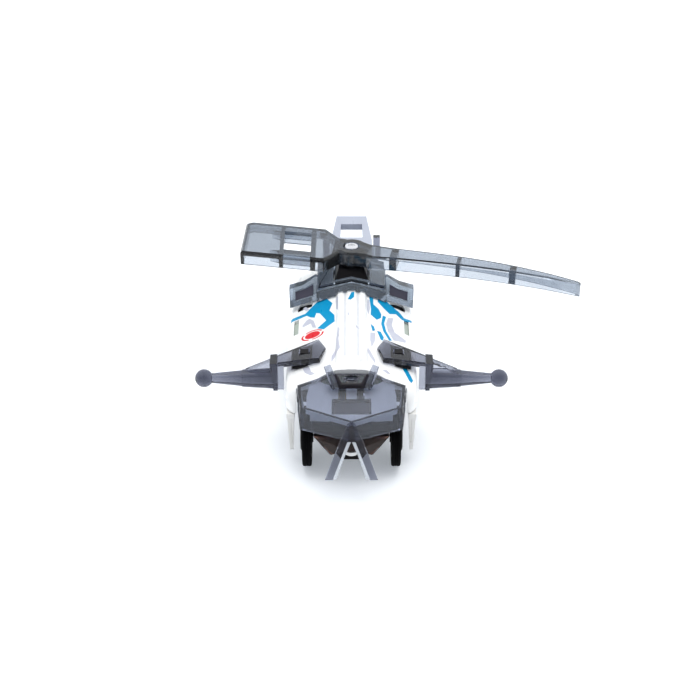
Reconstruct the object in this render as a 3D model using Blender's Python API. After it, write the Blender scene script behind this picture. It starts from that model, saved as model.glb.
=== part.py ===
"""Battling bug robot: a small motorised toy with a white carapace, smoked clip-on weapons and a rotor.

All sizes below are in millimetres and are scaled to metres when a mesh is made.
The frame: +X is the robot's left-to-right as seen from the front, +Y runs from nose to tail, +Z is up.
The origin is the centre of the battery cover's flat underside; the floor lies FLOOR_Z below it.
"""

import bmesh
import bpy
from math import acos, cos, pi, radians, sin, tan
from mathutils import Vector

MM = 0.001
GAP = 0.3  # clearance between neighbouring pieces

# Wheels and drive train
WHEEL_R = 7.8
FLOOR_Z = -4.0
AXLE_Y, AXLE_Z = -32.5, FLOOR_Z + WHEEL_R
AXLE_R = 0.6
AXLE_END_X = 12.6
TYRE_X = 11.5  # middle of a tyre's tread
TYRE_W = 2.4
TYRE_BORE_R = 5.6
GEAR_MODULE = 0.3
AXLE_TEETH, IDLER_SMALL_TEETH, IDLER_BIG_TEETH, PINION_TEETH = 20, 10, 24, 10
MOTOR_R = 3.0
IDLER_ANGLE, MOTOR_ANGLE = radians(50), radians(40)  # direction of the next shaft, from +Y towards +Z
IDLER_REACH = GEAR_MODULE * (AXLE_TEETH + IDLER_SMALL_TEETH) / 2
MOTOR_REACH = GEAR_MODULE * (IDLER_BIG_TEETH + PINION_TEETH) / 2
IDLER_AT = (AXLE_Y + IDLER_REACH * cos(IDLER_ANGLE), AXLE_Z + IDLER_REACH * sin(IDLER_ANGLE))
MOTOR_AT = (IDLER_AT[0] + MOTOR_REACH * cos(MOTOR_ANGLE), IDLER_AT[1] + MOTOR_REACH * sin(MOTOR_ANGLE))
IDLER_PIN_R, MOTOR_SHAFT_R = 0.5, 0.4

# Carapace
SHELL_RIM_Z = 12.0
SHELL_WALL = 1.2
SHELL_CORNER_R = 1.7
SPINE_HALF_WIDTH = 4.3
SHELL_SCREWS = [(x, y) for y in (-11.5, 25.0) for x in (-11.6, 11.6)]
LEG_YS = (-31.8, -8.0, 17.0)
LEG_TIP_Z = -0.9
LEG_INNER_X, LEG_OUTER_X = 14.6, 16.7

# Chassis
TUB_HALF_WIDTH = 9.5
TUB_FRONT_Y, TUB_REAR_Y = -25.5, 30.0
DECK_Z0, DECK_Z1 = 10.5, 11.7
DECK_HALF_WIDTH, NOSE_HALF_WIDTH = 14.2, 9.9
KEEL_FRONT_Y, KEEL_DEEP_Y = -40.5, -36.4
KEEL_FRONT_Z, KEEL_DEEP_Z = 4.5, -0.8
FOOT_Y, FOOT_R = -38.6, 1.9
COVER_HALF_X, COVER_HALF_Y, COVER_THICK = 6.3, 19.0, 1.0
CELL_R, CELL_H = 5.8, 5.4
CELL_PITCH, CELL_FRONT_Y = 11.7, -12.9
COVER_SCREW_Y = 17.7
SKID_Y = 28.55

# Face mask
VISOR_BACK_Y, VISOR_BACK_Z, VISOR_SLOPE = -27.7, 20.0, 0.2333
VISOR_THICK = 1.1
MASK_HALF_WIDTH = 13.8
CHEEK_Y = -31.7
BAND_SIDE_Y, BAND_NOSE_Y = -39.0, -44.0
BAND_LOW_Z = 10.4
LENS_Y, LAMP_Y = -29.3, -14.6
VISOR_SEAT = 0.45  # the carapace lies this far below the visor's underside
MOUNT_HALF_WIDTH = 4.7
MOUNT_FRONT_Y, MOUNT_BACK_Y, MOUNT_BAR_Y, MOUNT_LEG_Y = -39.8, -35.9, -35.2, -31.8
MOUNT_LEG_X, MOUNT_LEG_HALF = 2.35, 0.7

# Side weapons
PEG_X, PEG_Y, PEG_HALF = 12.3, -20.0, 1.1
PAD_INNER_X, PAD_INNER_Z, PAD_OUTER_Z, PAD_THICK = 6.7, 22.75, 21.0, 1.5
FLANGE_X, FLANGE_LOW_X, FLANGE_TOP_X, FLANGE_LOW_Z = 19.3, 20.4, 21.2, 12.6
SPIKE_Y, SPIKE_Z, SPIKE_STEP_X = -22.4, 15.2, 28.6
BALL_X, BALL_R = 38.55, 2.4

# Rotor
ROTOR_Y = 17.7
ROTOR_LOW_Z, ROTOR_TOP_Z = 29.0, 33.0
ROTOR_TURN = radians(-11.3)  # the angle at which the rotor stands at rest
ROTOR_HUB_R, ROTOR_BORE_R = 4.5, 1.45
ROTOR_PIN_R, ROTOR_HEAD_R = 1.37, 1.85
POST_ROOM_Y = 11.3  # front of the opening that the rotor post stands in
POD_REAR_Y = 10.8

SMOKE = ("smoke_plastic", (0.30, 0.33, 0.40), 0.12, 0.0)
DARK_SMOKE = ("dark_smoke_plastic", (0.10, 0.085, 0.09), 0.18, 0.0)
WHITE = ("white_plastic", (0.86, 0.87, 0.86), 0.32, 0.0)
BLACK = ("black_plastic", (0.025, 0.025, 0.028), 0.45, 0.0)
RUBBER = ("black_rubber", (0.015, 0.015, 0.016), 0.8, 0.0)
STEEL = ("bright_steel", (0.72, 0.72, 0.74), 0.25, 1.0)
BRASS = ("brass", (0.75, 0.58, 0.28), 0.3, 1.0)
NYLON = ("natural_nylon", (0.80, 0.79, 0.73), 0.45, 0.0)
BOARD = ("circuit_board", (0.05, 0.28, 0.12), 0.4, 0.0)
CLEAR = ("light_pipe", (0.55, 0.60, 0.62), 0.1, 0.0)


def clear_scene():
    for obj in list(bpy.data.objects):
        bpy.data.objects.remove(obj)


def material_of(node, spec):
    """A new material for one node, named after its finish and the node."""
    finish, colour, roughness, metallic = spec
    made = bpy.data.materials.new(f"{finish}.{node}")
    made.use_nodes = True
    shader = made.node_tree.nodes["Principled BSDF"]
    shader.inputs["Base Color"].default_value = (*colour, 1.0)
    shader.inputs["Roughness"].default_value = roughness
    shader.inputs["Metallic"].default_value = metallic
    made.diffuse_color = (*colour, 1.0)
    return made


# --- closed shapes, each returned as a mesh ---


def mesh_from(points, faces):
    """A mesh from millimetre points and faces, with its normals pointing out."""
    mesh = bpy.data.meshes.new("shape")
    bm = bmesh.new()
    verts = [bm.verts.new(Vector(p) * MM) for p in points]
    for face in faces:
        bm.faces.new([verts[i] for i in face])
    bmesh.ops.recalc_face_normals(bm, faces=bm.faces)
    bm.to_mesh(mesh)
    bm.free()
    return mesh


def loft(rings):
    """A closed body through rings of 3-D points, each ring with the same number of points."""
    count = len(rings[0])
    points = [p for ring in rings for p in ring]
    faces = [list(range(count)), list(range(len(points) - count, len(points)))]
    for r in range(len(rings) - 1):
        for i in range(count):
            j = (i + 1) % count
            faces.append([r * count + i, r * count + j, (r + 1) * count + j, (r + 1) * count + i])
    return mesh_from(points, faces)


def prism(outline, axis, low, high):
    """A flat outline pulled along an axis. Its two numbers are the other two axes, in X, Y, Z order."""
    place = {
        "x": lambda a, b, t: (t, a, b),
        "y": lambda a, b, t: (a, t, b),
        "z": lambda a, b, t: (a, b, t),
    }[axis]
    return loft([[place(a, b, t) for a, b in outline] for t in (low, high)])


def box(low, high):
    (x0, y0, z0), (x1, y1, z1) = low, high
    return prism([(x0, y0), (x1, y0), (x1, y1), (x0, y1)], "z", z0, z1)


def square(x, y, half):
    """A square outline seen from above."""
    return [(x - half, y - half), (x + half, y - half), (x + half, y + half), (x - half, y + half)]


def round_outline(centre, radius, steps):
    turn = 2 * pi / steps
    return [(centre[0] + radius * cos(k * turn), centre[1] + radius * sin(k * turn)) for k in range(steps)]


def cylinder(axis, centre, radius, low, high, steps=20):
    return prism(round_outline(centre, radius, steps), axis, low, high)


def turned(profile, axis, centre, steps=32):
    """A body turned about a line along X or Z.

    The profile is (radius, place along the line), and closes on itself unless its ends lie on the line.
    """
    points, rows = [], []
    for radius, along in profile:
        ring = []
        for k in range(1 if radius == 0 else steps):
            a = 2 * pi * k / steps
            u, v = centre[0] + radius * cos(a), centre[1] + radius * sin(a)
            ring.append(len(points))
            points.append((along, u, v) if axis == "x" else (u, v, along))
        rows.append(ring)
    pairs = list(zip(rows, rows[1:]))
    if profile[0][0] > 0:
        pairs.append((rows[-1], rows[0]))
    faces = []
    for one, two in pairs:
        for k in range(steps):
            j = (k + 1) % steps
            quad = [one[k % len(one)], one[j % len(one)], two[j % len(two)], two[k % len(two)]]
            faces.append(list(dict.fromkeys(quad)))
    return mesh_from(points, [f for f in faces if len(f) > 2])


def sphere(centre, radius, steps=16, rows=9):
    rings = [(radius * sin(pi * i / rows), centre[2] - radius * cos(pi * i / rows)) for i in range(rows + 1)]
    rings[0], rings[-1] = (0, rings[0][1]), (0, rings[-1][1])
    return turned(rings, "z", centre[:2], steps)


def bar(start, end, size_start, size_end, up=(0, 0, 1)):
    """A straight tapered bar with (width, depth) at each end and its depth nearest to up."""
    direction = (Vector(end) - Vector(start)).normalized()
    side = direction.cross(Vector(up)).normalized()
    depth = side.cross(direction)
    rings = []
    for place, (width, thick) in ((start, size_start), (end, size_end)):
        corners = ((-1, -1), (1, -1), (1, 1), (-1, 1))
        across, along = side * (width / 2), depth * (thick / 2)
        rings.append([tuple(Vector(place) + across * a + along * b) for a, b in corners])
    return loft(rings)


def tube(path, radius, sides=8):
    """A round rod along a path of points, with flat ends."""
    rings = []
    for i, place in enumerate(path):
        before, after = path[max(i - 1, 0)], path[min(i + 1, len(path) - 1)]
        along = (Vector(after) - Vector(before)).normalized()
        side = along.cross(Vector((0.13, 0.05, 1))).normalized()
        other = side.cross(along)
        spokes = [side * cos(2 * pi * k / sides) + other * sin(2 * pi * k / sides) for k in range(sides)]
        rings.append([tuple(Vector(place) + spoke * radius) for spoke in spokes])
    return loft(rings)


def gear_outline(teeth, centre, phase):
    """Involute teeth with a little backlash. One tooth points along phase."""
    pressure, backlash = radians(22.5), 0.08
    pitch_r = teeth * GEAR_MODULE / 2
    base_r, tip_r, root_r = pitch_r * cos(pressure), pitch_r + 0.8 * GEAR_MODULE, pitch_r - 1.2 * GEAR_MODULE
    start_r = max(base_r, root_r)
    half_tooth = pi / 2 / teeth - backlash / 2 / pitch_r + tan(pressure) - pressure
    flank = []
    for i in range(3):
        r = start_r + (tip_r - start_r) * i / 2
        roll = acos(base_r / r)
        flank.append((r, half_tooth - (tan(roll) - roll)))
    if root_r < start_r:
        flank.insert(0, (root_r, flank[0][1]))
    outline = []
    for k in range(teeth):
        middle = phase + 2 * pi * k / teeth
        for r, half in flank:
            outline.append((centre[0] + r * cos(middle - half), centre[1] + r * sin(middle - half)))
        for r, half in reversed(flank):
            outline.append((centre[0] + r * cos(middle + half), centre[1] + r * sin(middle + half)))
    return outline


def mirrored(points):
    return [(-p[0], *p[1:]) for p in points]


def turned_about_z(points, centre, angle):
    """Plan points (x, y) turned about a centre."""
    c, s = cos(angle), sin(angle)
    return [(centre[0] + x * c - y * s, centre[1] + x * s + y * c) for x, y in points]


# --- objects ---


def solid(name, spec, base, add=(), cut=(), smooth=None):
    """An object made of a base shape, with others joined to it and then others cut from it."""
    obj = bpy.data.objects.new(name, base)
    bpy.context.scene.collection.objects.link(obj)
    tools = []
    for operation, shapes in (("UNION", add), ("DIFFERENCE", cut)):
        for shape in shapes:
            tool = bpy.data.objects.new(name + "_tool", shape)
            bpy.context.scene.collection.objects.link(tool)
            tools.append(tool)
            modifier = obj.modifiers.new(operation, "BOOLEAN")
            modifier.operation = operation
            modifier.solver = "EXACT"
            modifier.object = tool
    if tools:
        bpy.context.view_layer.update()
        graph = bpy.context.evaluated_depsgraph_get()
        made = bpy.data.meshes.new_from_object(obj.evaluated_get(graph))
        obj.modifiers.clear()
        obj.data = made
        for tool in tools:
            bpy.data.objects.remove(tool)
    tidy(obj.data)
    obj.data.name = name
    obj.data.materials.clear()
    obj.data.materials.append(material_of(name, spec))
    if smooth:
        obj.data.shade_smooth()
        obj.data.set_sharp_from_angle(angle=radians(smooth))
    return obj


def tidy(mesh):
    """Joins points that fall together and flattens the slivers that a cut leaves."""
    bm = bmesh.new()
    bm.from_mesh(mesh)
    bmesh.ops.remove_doubles(bm, verts=bm.verts, dist=0.002 * MM)
    bmesh.ops.dissolve_limit(bm, angle_limit=radians(0.2), verts=bm.verts, edges=bm.edges)
    bmesh.ops.triangulate(bm, faces=bm.faces)
    bm.to_mesh(mesh)
    bm.free()


def set_origins(names, place):
    """Puts the origin of each named object on its joint's axis, leaving the shape where it is."""
    offset = Vector(place) * MM
    for name in names:
        obj = bpy.data.objects[name]
        for vertex in obj.data.vertices:
            vertex.co -= offset
        obj.location = offset


# --- carapace ---

# Stations along the body: y, half width, shoulder height, roof height at the middle, raise of the spine.
SHELL_STATIONS = [
    (-33.9, 14.9, 14.0, 15.4, 0.0),
    (-33.0, 15.9, 15.4, 17.0, 0.0),
    (-31.2, 16.7, 17.0, 18.8, 0.0),
    (-28.5, 17.0, 18.0, 20.6, 0.0),
    (-25.5, 17.0, 18.5, 21.6, 0.3),
    (-24.5, 17.0, 18.6, 21.9, 0.9),
    (-15.2, 17.0, 18.8, 23.0, 0.9),
    (-14.4, 17.0, 18.8, 23.0, 0.5),
    (-13.6, 17.0, 18.8, 23.1, 0.9),
    (-3.2, 16.9, 18.9, 23.5, 0.9),
    (-2.4, 16.9, 18.9, 23.5, 0.5),
    (-1.6, 16.8, 18.9, 23.5, 0.9),
    (8.0, 16.7, 18.8, 23.7, 0.9),
    (20.0, 16.4, 18.6, 23.4, 0.9),
    (27.0, 15.8, 18.2, 22.6, 0.8),
    (31.0, 14.6, 17.4, 21.2, 0.4),
    (34.0, 12.6, 16.2, 18.8, 0.1),
    (36.0, 10.0, 14.6, 16.2, 0.0),
]


def shell_section(y, half_width, shoulder, roof, raise_by, out=0.0, rim_z=SHELL_RIM_Z):
    """One cross-section of the carapace, offset outwards by out, from the right rim to the left."""
    w, zs, zc = half_width + out, shoulder + out, roof + out
    edge = w - SHELL_CORNER_R
    half = [(w, rim_z), (w, zs - SHELL_CORNER_R)]
    for k in (1, 2, 3):
        a = k * pi / 8
        half.append((edge + SHELL_CORNER_R * cos(a), zs - SHELL_CORNER_R + SHELL_CORNER_R * sin(a) * 0.86))
    for share in (0.86, 0.68, 0.5):
        x = SPINE_HALF_WIDTH + (edge - SPINE_HALF_WIDTH) * share
        half.append((x, roof_height(x, edge, zs, zc)))
    x = SPINE_HALF_WIDTH
    half.append((x, roof_height(x, edge, zs, zc)))
    groove = raise_by * 0.45
    low = raise_by - groove
    for x, lift in ((3.7, raise_by), (2.3, raise_by), (2.0, low), (1.5, low), (1.2, raise_by)):
        half.append((x, roof_height(x, edge, zs, zc) + lift))
    ring = half + [(-x, z) for x, z in reversed(half)]
    return [(x, y, z) for x, z in ring]


def roof_height(x, edge, shoulder, roof):
    return shoulder + (roof - shoulder) * (1 - (abs(x) / edge) ** 1.7)


def shell_body(out=0.0, rim_z=SHELL_RIM_Z, ends=0.0):
    """The carapace as a filled body, offset outwards by out, and lengthened by ends at nose and tail."""
    rings = []
    last = len(SHELL_STATIONS) - 1
    for i, (y, w, zs, zc, lift) in enumerate(SHELL_STATIONS):
        shift = -ends if i == 0 else ends if i == last else 0.0
        rings.append(shell_section(y + shift, w, zs, zc, lift if out >= 0 else 0.0, out, rim_z))
    return loft(rings)


def visor_z(y):
    return VISOR_BACK_Z + VISOR_SLOPE * (y - VISOR_BACK_Y)


def visor_plan(grow=0.0):
    """The visor's outline in plan, right side then left, starting at the middle of its back edge."""
    right = [
        (0.0, VISOR_BACK_Y + grow),
        (5.0, VISOR_BACK_Y + grow),
        (MASK_HALF_WIDTH + grow, CHEEK_Y + grow * 0.6),
        (12.9 + grow, BAND_SIDE_Y),
        (0.0, BAND_NOSE_Y - grow),
    ]
    return right + mirrored(right[3:0:-1])


def seat_z(y):
    """The height of the carapace's flat seat under the visor."""
    return visor_z(y) - VISOR_THICK - VISOR_SEAT


def make_top_shell():
    plan = visor_plan(0.35)
    recess = loft([
        [(x, y, seat_z(y)) for x, y in plan],
        [(x, y, 40.0) for x, y in plan],
    ])
    cuts = [shell_body(-SHELL_WALL, SHELL_RIM_Z - 3.0, -SHELL_WALL), recess]
    for side in (1, -1):
        slot = sorted((side * 14.3, side * 15.6))
        cuts.append(box((slot[0], -7.0, 16.0), (slot[1], 0.6, 24.0)))
        cheek = sorted((side * 11.0, side * 14.2))
        cuts.append(box((cheek[0], -40.0, 9.0), (cheek[1], -30.6, 18.0)))
        window = sorted((side * 10.2, side * 15.6))
        cuts.append(box((window[0], -23.6, 13.5), (window[1], -16.0, 26.0)))
    cuts.append(box((-5.0, POST_ROOM_Y, 18.0), (5.0, 22.6, 30.0)))
    cuts.append(cylinder("z", (0, LENS_Y), 1.3, 10.0, 24.0, 16))
    bosses = []
    for x, y in SHELL_SCREWS:
        bosses.append(cylinder("z", (x, y), 1.7, DECK_Z1 + GAP, 18.6, 12))
        cuts.append(cylinder("z", (x, y), 0.8, 10.0, 16.0, 12))
    ledge_right = [(0.0, -42.4), (11.4, -38.0), (11.4, -34.0), (10.9, -31.0)]
    ledge_plan = ledge_right + mirrored(ledge_right[:0:-1])
    ledge = loft([
        [(x, y, seat_z(y) - SHELL_WALL) for x, y in ledge_plan],
        [(x, y, seat_z(y) - 0.005) for x, y in ledge_plan],
    ])
    lips = []
    for side in (1, -1):
        face = [(10.3, -38.5), (5.4, -40.36), (5.4, -39.2), (10.3, -37.3)]
        lips.append(loft([
            [(side * x, y, 13.0 + 0.2 * (10.3 - x)) for x, y in face],
            [(side * x, y, seat_z(y) - 0.6) for x, y in face],
        ]))
    room = MOUNT_HALF_WIDTH + GAP
    mount_room = [box((-room, MOUNT_FRONT_Y - GAP, 9.0), (room, MOUNT_BAR_Y + GAP, 19.0))]
    for side in (1, -1):
        x = side * MOUNT_LEG_X
        reach = MOUNT_LEG_HALF + GAP
        mount_room.append(box((x - reach, MOUNT_BACK_Y, 14.0), (x + reach, MOUNT_LEG_Y + GAP, 19.0)))
    shell = solid("top_shell", WHITE, shell_body(), cut=cuts[:1])
    shell = solid_from(shell, "top_shell", WHITE, add=bosses, cut=cuts[1:])
    return solid_from(shell, "top_shell", WHITE, add=[ledge, *lips], cut=mount_room, smooth=40)


def solid_from(obj, name, spec, add=(), cut=(), smooth=None):
    """Carries on from an object already made, and takes its place."""
    mesh = obj.data
    bpy.data.objects.remove(obj)
    return solid(name, spec, mesh, add, cut, smooth)


def make_leg_rail(side, name):
    """A white rail under the carapace's rim with three tapered legs."""
    x0, x1 = sorted((side * LEG_INNER_X, side * LEG_OUTER_X))
    rail = box((x0, -34.0, 10.3), (x1, 26.0, SHELL_RIM_Z - GAP))
    legs = []
    for y in LEG_YS:
        top = [(x0 + 0.1, y - 2.0), (x1 - 0.1, y - 2.0), (x1 - 0.1, y + 1.8), (x0 + 0.1, y + 1.8)]
        mid = side * 15.6
        foot = [(mid - 0.45, y - 0.1), (mid + 0.45, y - 0.1), (mid + 0.45, y + 1.0), (mid - 0.45, y + 1.0)]
        legs.append(loft([[(x, yy, LEG_TIP_Z) for x, yy in foot], [(x, yy, 11.0) for x, yy in top]]))
    return solid(name, WHITE, rail, add=legs)


# --- chassis ---


def keel_outline(bottom_z, bottom_half, knee, inset=0.0, top_z=11.2):
    """A boat-shaped section. The knee is where its side bends, if it has one."""
    half = TUB_HALF_WIDTH - inset
    right = [(bottom_half, bottom_z), *knee, (half, 9.3), (half, top_z)]
    return right + mirrored(reversed(right))


def make_tub():
    hw, wall = TUB_HALF_WIDTH, 1.2
    body = box((-hw, TUB_FRONT_Y, 0.0), (hw, TUB_REAR_Y, DECK_Z0 + 0.5))
    add = [
        box((-DECK_HALF_WIDTH, -26.8, DECK_Z0), (DECK_HALF_WIDTH, 31.0, DECK_Z1)),
        prism(keel_outline(KEEL_DEEP_Z, 2.6, [(4.8, 2.8)]), "y", KEEL_DEEP_Y, TUB_FRONT_Y + 1.0),
        prism(keel_outline(KEEL_FRONT_Z, 4.9, [], top_z=9.9), "y", KEEL_FRONT_Y, KEEL_DEEP_Y + 1.0),
        box((-NOSE_HALF_WIDTH, -38.4, 9.9), (NOSE_HALF_WIDTH, -26.0, DECK_Z1 - 0.003)),
    ]
    inner_keel = keel_outline(KEEL_DEEP_Z + 1.0, 1.4, [(3.6, 3.3)], wall, 20.0)
    cut = [
        prism(inner_keel, "y", KEEL_DEEP_Y + 0.6, TUB_FRONT_Y + 2.5),
        box((wall - hw, TUB_FRONT_Y + 1.2, wall), (hw - wall, TUB_REAR_Y - wall, 20.0)),
        box((-COVER_HALF_X - GAP, -COVER_HALF_Y - GAP, -2.0), (COVER_HALF_X + GAP, COVER_HALF_Y + GAP, 3.0)),
        box((-1.8, 20.7, -2.0), (1.8, 26.3, 3.0)),
        cylinder("x", (AXLE_Y, AXLE_Z), AXLE_R + 0.08, -12.0, 12.0, 16),
        cylinder("x", IDLER_AT, 0.62, -12.0, 12.0, 12),
    ]
    cut += [cylinder("z", (x, y), 0.85, 8.0, 14.0, 12) for x, y in SHELL_SCREWS]
    tub = solid("chassis_tub", BLACK, body, add=add, cut=cut[:2])
    cradle_y, cradle_reach = MOTOR_AT[0], 1.6
    # Inside: a cross bridge under the rotor post, a lug for the cover's screw, board posts and a motor cradle
    cradle = [(2.5, 2.6), (4.2, 2.6), (7.4, 7.2), (7.4, 9.4), (2.5, 9.4)]
    inside = [
        box((-9.0, 12.6, DECK_Z0), (9.0, 23.0, DECK_Z1 - 0.002)),
        box((-2.0, 16.9, 1.5), (2.0, 20.6, 4.4)),
        box((-2.0, 19.6, 0.4), (2.0, 20.6, 2.0)),
        prism(cradle, "y", cradle_y - cradle_reach, cradle_y + cradle_reach),
    ]
    for x in (-1, 1):
        post = sorted((x * 7.2, x * 8.8))
        for y in (-15.5, 24.5):
            inside.append(box((post[0], y - 0.9, 0.6), (post[1], y + 0.9, 8.6)))
        bearing = sorted((x * 4.6, x * 7.6))
        inside.append(cylinder("x", (AXLE_Y, AXLE_Z), 1.5, *bearing, 16))
    holes = cut[2:] + [
        cylinder("z", (0, COVER_SCREW_Y), 0.85, -1.0, 6.0, 12),
        cylinder("x", MOTOR_AT, MOTOR_R + 0.2, 0.9, 7.9, 28),
    ]
    return solid_from(tub, "chassis_tub", BLACK, add=inside, cut=holes)


def make_drive():
    axle = cylinder("x", (AXLE_Y, AXLE_Z), AXLE_R, -AXLE_END_X, AXLE_END_X, 16)
    solid("drive_axle", STEEL, axle, smooth=30)
    bore = cylinder("x", (AXLE_Y, AXLE_Z), AXLE_R + 0.06, -2.0, 2.0, 16)
    teeth = gear_outline(AXLE_TEETH, (AXLE_Y, AXLE_Z), IDLER_ANGLE)
    solid("axle_gear", NYLON, prism(teeth, "x", -1.0, 1.0), cut=[bore])
    for side, word in ((-1, "left"), (1, "right")):
        make_wheel(side, word)
    solid("idler_pin", STEEL, cylinder("x", IDLER_AT, IDLER_PIN_R, -7.6, 7.6, 12), smooth=30)
    small_phase = IDLER_ANGLE + pi + pi / IDLER_SMALL_TEETH
    small = prism(gear_outline(IDLER_SMALL_TEETH, IDLER_AT, small_phase), "x", -1.6, 1.0)
    big = prism(gear_outline(IDLER_BIG_TEETH, IDLER_AT, MOTOR_ANGLE), "x", -3.2, -1.5)
    solid("idler_gear", NYLON, big, add=[small], cut=[cylinder("x", IDLER_AT, 0.58, -6.0, 6.0, 12)])
    can = [(0, 1.4), (MOTOR_R - 0.3, 1.4), (MOTOR_R, 1.7), (MOTOR_R, 7.3), (MOTOR_R - 0.3, 7.6), (0, 7.6)]
    shaft_hole = cylinder("x", MOTOR_AT, 0.5, 0.0, 4.0, 12)
    solid("motor_can", STEEL, turned(can, "x", MOTOR_AT, 28), cut=[shaft_hole], smooth=30)
    solid("motor_shaft", STEEL, cylinder("x", MOTOR_AT, MOTOR_SHAFT_R, -3.9, 3.6, 12), smooth=30)
    pinion_phase = MOTOR_ANGLE + pi + pi / PINION_TEETH
    pinion = prism(gear_outline(PINION_TEETH, MOTOR_AT, pinion_phase), "x", -3.4, -1.3)
    solid("motor_pinion", BRASS, pinion, cut=[cylinder("x", MOTOR_AT, 0.46, -6.0, 2.0, 12)])


def make_wheel(side, word):
    inner, outer = TYRE_X - TYRE_W / 2, TYRE_X + TYRE_W / 2
    tyre = [
        (TYRE_BORE_R, inner + 0.15), (WHEEL_R - 0.5, inner), (WHEEL_R, inner + 0.4),
        (WHEEL_R, outer - 0.4), (WHEEL_R - 0.5, outer), (TYRE_BORE_R, outer - 0.15),
    ]
    rim_r, cap_r = TYRE_BORE_R - 0.08, 3.7
    hub = [
        (0, outer), (AXLE_R + 0.08, outer), (AXLE_R + 0.08, inner - 0.4),
        (1.6, inner - 0.4), (1.6, inner + 0.3),
        (4.9, inner + 0.3), (4.9, inner + 0.05), (rim_r, inner + 0.05), (rim_r, outer - 0.05),
        (4.9, outer - 0.05), (4.9, outer - 0.5), (cap_r, outer - 0.5), (cap_r, outer + 0.25),
        (cap_r - 0.3, outer + 0.5), (0, outer + 0.5),
    ]
    at = (AXLE_Y, AXLE_Z)
    solid(f"tyre_{word}", RUBBER, turned([(r, side * x) for r, x in tyre], "x", at, 36), smooth=35)
    solid(f"wheel_hub_{word}", BLACK, turned([(r, side * x) for r, x in hub], "x", at, 24), smooth=35)


def make_belly():
    """The battery cover and what lies behind it, the switch, the rear skid and the carapace's screws."""
    cover = box((-COVER_HALF_X, -COVER_HALF_Y, 0.0), (COVER_HALF_X, COVER_HALF_Y, COVER_THICK))
    screw_seat = cylinder("z", (0, COVER_SCREW_Y), 1.1, -1.0, 0.6, 20)
    screw_hole = cylinder("z", (0, COVER_SCREW_Y), 0.75, -1.0, 3.0, 16)
    ribs = [box((-3.0, -18.2 + 0.9 * k, -0.2), (3.0, -17.8 + 0.9 * k, 0.3)) for k in range(4)]
    solid("battery_cover", BLACK, cover, cut=[screw_seat, screw_hole, *ribs])
    screw = [(0, 0.05), (0.9, 0.05), (0.9, 0.45), (0.5, 0.6), (0.5, 3.8), (0, 4.2)]
    cross = [box((-0.6, COVER_SCREW_Y - 0.12, -0.2), (0.6, COVER_SCREW_Y + 0.12, 0.3))]
    solid("battery_cover_screw", STEEL, turned(screw, "z", (0, COVER_SCREW_Y), 20), cut=cross, smooth=30)
    for k, word in enumerate(("front", "middle", "rear")):
        y = CELL_FRONT_Y + k * CELL_PITCH
        cell = [(0, 1.35), (CELL_R - 1.0, 1.35), (CELL_R - 0.8, 1.6), (CELL_R - 0.2, 1.6), (CELL_R, 1.9),
                (CELL_R, CELL_H + 1.1), (CELL_R - 0.25, CELL_H + 1.35), (0, CELL_H + 1.35)]
        solid(f"button_cell_{word}", STEEL, turned(cell, "z", (0, y), 32), smooth=30)
    plate = box((-3.0, -18.0, 7.05), (3.0, 15.5, 7.35))
    solid("battery_contact_top", BRASS, plate, add=[box((-0.6, 14.9, 7.2), (0.6, 15.5, 8.7))])
    spring = [(-1.2, 1.6), (-1.2, 6.9), (-0.9, 6.9), (-0.9, 1.6)]
    leaf = prism([(COVER_HALF_Y + y + 1.2 + 0.02, z) for y, z in spring], "x", 2.6, 5.4)
    solid("battery_contact_end", BRASS, leaf)
    solid("switch_body", STEEL, box((-3.6, 21.6, 2.2), (3.6, 26.4, 4.6)))
    knob = box((-1.5, 21.0, -0.7), (1.5, 24.0, 1.9))
    grips = [box((-2.0, 21.35 + 0.7 * k, -1.0), (2.0, 21.6 + 0.7 * k, -0.4)) for k in range(4)]
    solid("switch_knob", BLACK, knob, cut=grips)
    front_half = [(-1.65, -0.3), (-1.65, -2.8), (-1.15, -3.8), (-0.5, FLOOR_Z)]
    skid = [(SKID_Y + y, z) for y, z in front_half + mirrored(reversed(front_half))]
    solid("rear_skid", RUBBER, prism(skid, "x", -5.0, 5.0))
    seat = DECK_Z0 - 0.1
    for k, at in enumerate(SHELL_SCREWS, 1):
        bolt = [(0, 8.9), (1.1, 8.9), (1.4, 9.2), (1.4, seat), (0.55, seat), (0.55, 15.2), (0, 15.6)]
        solid(f"shell_screw_{k}", STEEL, turned(bolt, "z", at, 12), smooth=30)


def make_electronics():
    board = box((-7.9, -17.0, 9.0), (7.9, 27.0, 9.8))
    solid("circuit_board", BOARD, board, cut=[box((-1.2, 14.4, 8.0), (1.2, 16.0, 11.0))])
    solid("control_chip", BLACK, box((-4.5, -8.0, 9.9), (1.5, -2.0, 10.9)))
    solid("motor_driver_chip", BLACK, box((3.0, -9.0, 9.9), (6.5, -5.0, 10.7)))
    lamp = [(0, 10.1), (1.2, 10.1), (1.2, 10.9), (0.9, 11.5), (0, 11.7)]
    solid("status_led", CLEAR, turned(lamp, "z", (0, LAMP_Y), 16), smooth=40)
    route = [(LAMP_Y, 12.2), (-16.0, 13.8), (-20.0, 14.9), (-26.0, 16.0), (LENS_Y, 16.7), (LENS_Y, 18.0)]
    solid("light_pipe", CLEAR, tube([(0, y, z) for y, z in route], 0.85, 10), smooth=50)
    solid("shock_sensor_post", BRASS, cylinder("z", (4.6, 6.0), 0.35, 10.0, 17.2, 8), smooth=30)
    turns, per_turn = 4, 12
    coil = []
    for k in range(turns * per_turn + 1):
        a = 2 * pi * k / per_turn
        coil.append((4.6 + 1.25 * cos(a), 6.0 + 1.25 * sin(a), 10.4 + 5.6 * k / (turns * per_turn)))
    solid("shock_sensor_spring", STEEL, tube(coil, 0.2, 5), smooth=50)


# --- front ---


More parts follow.
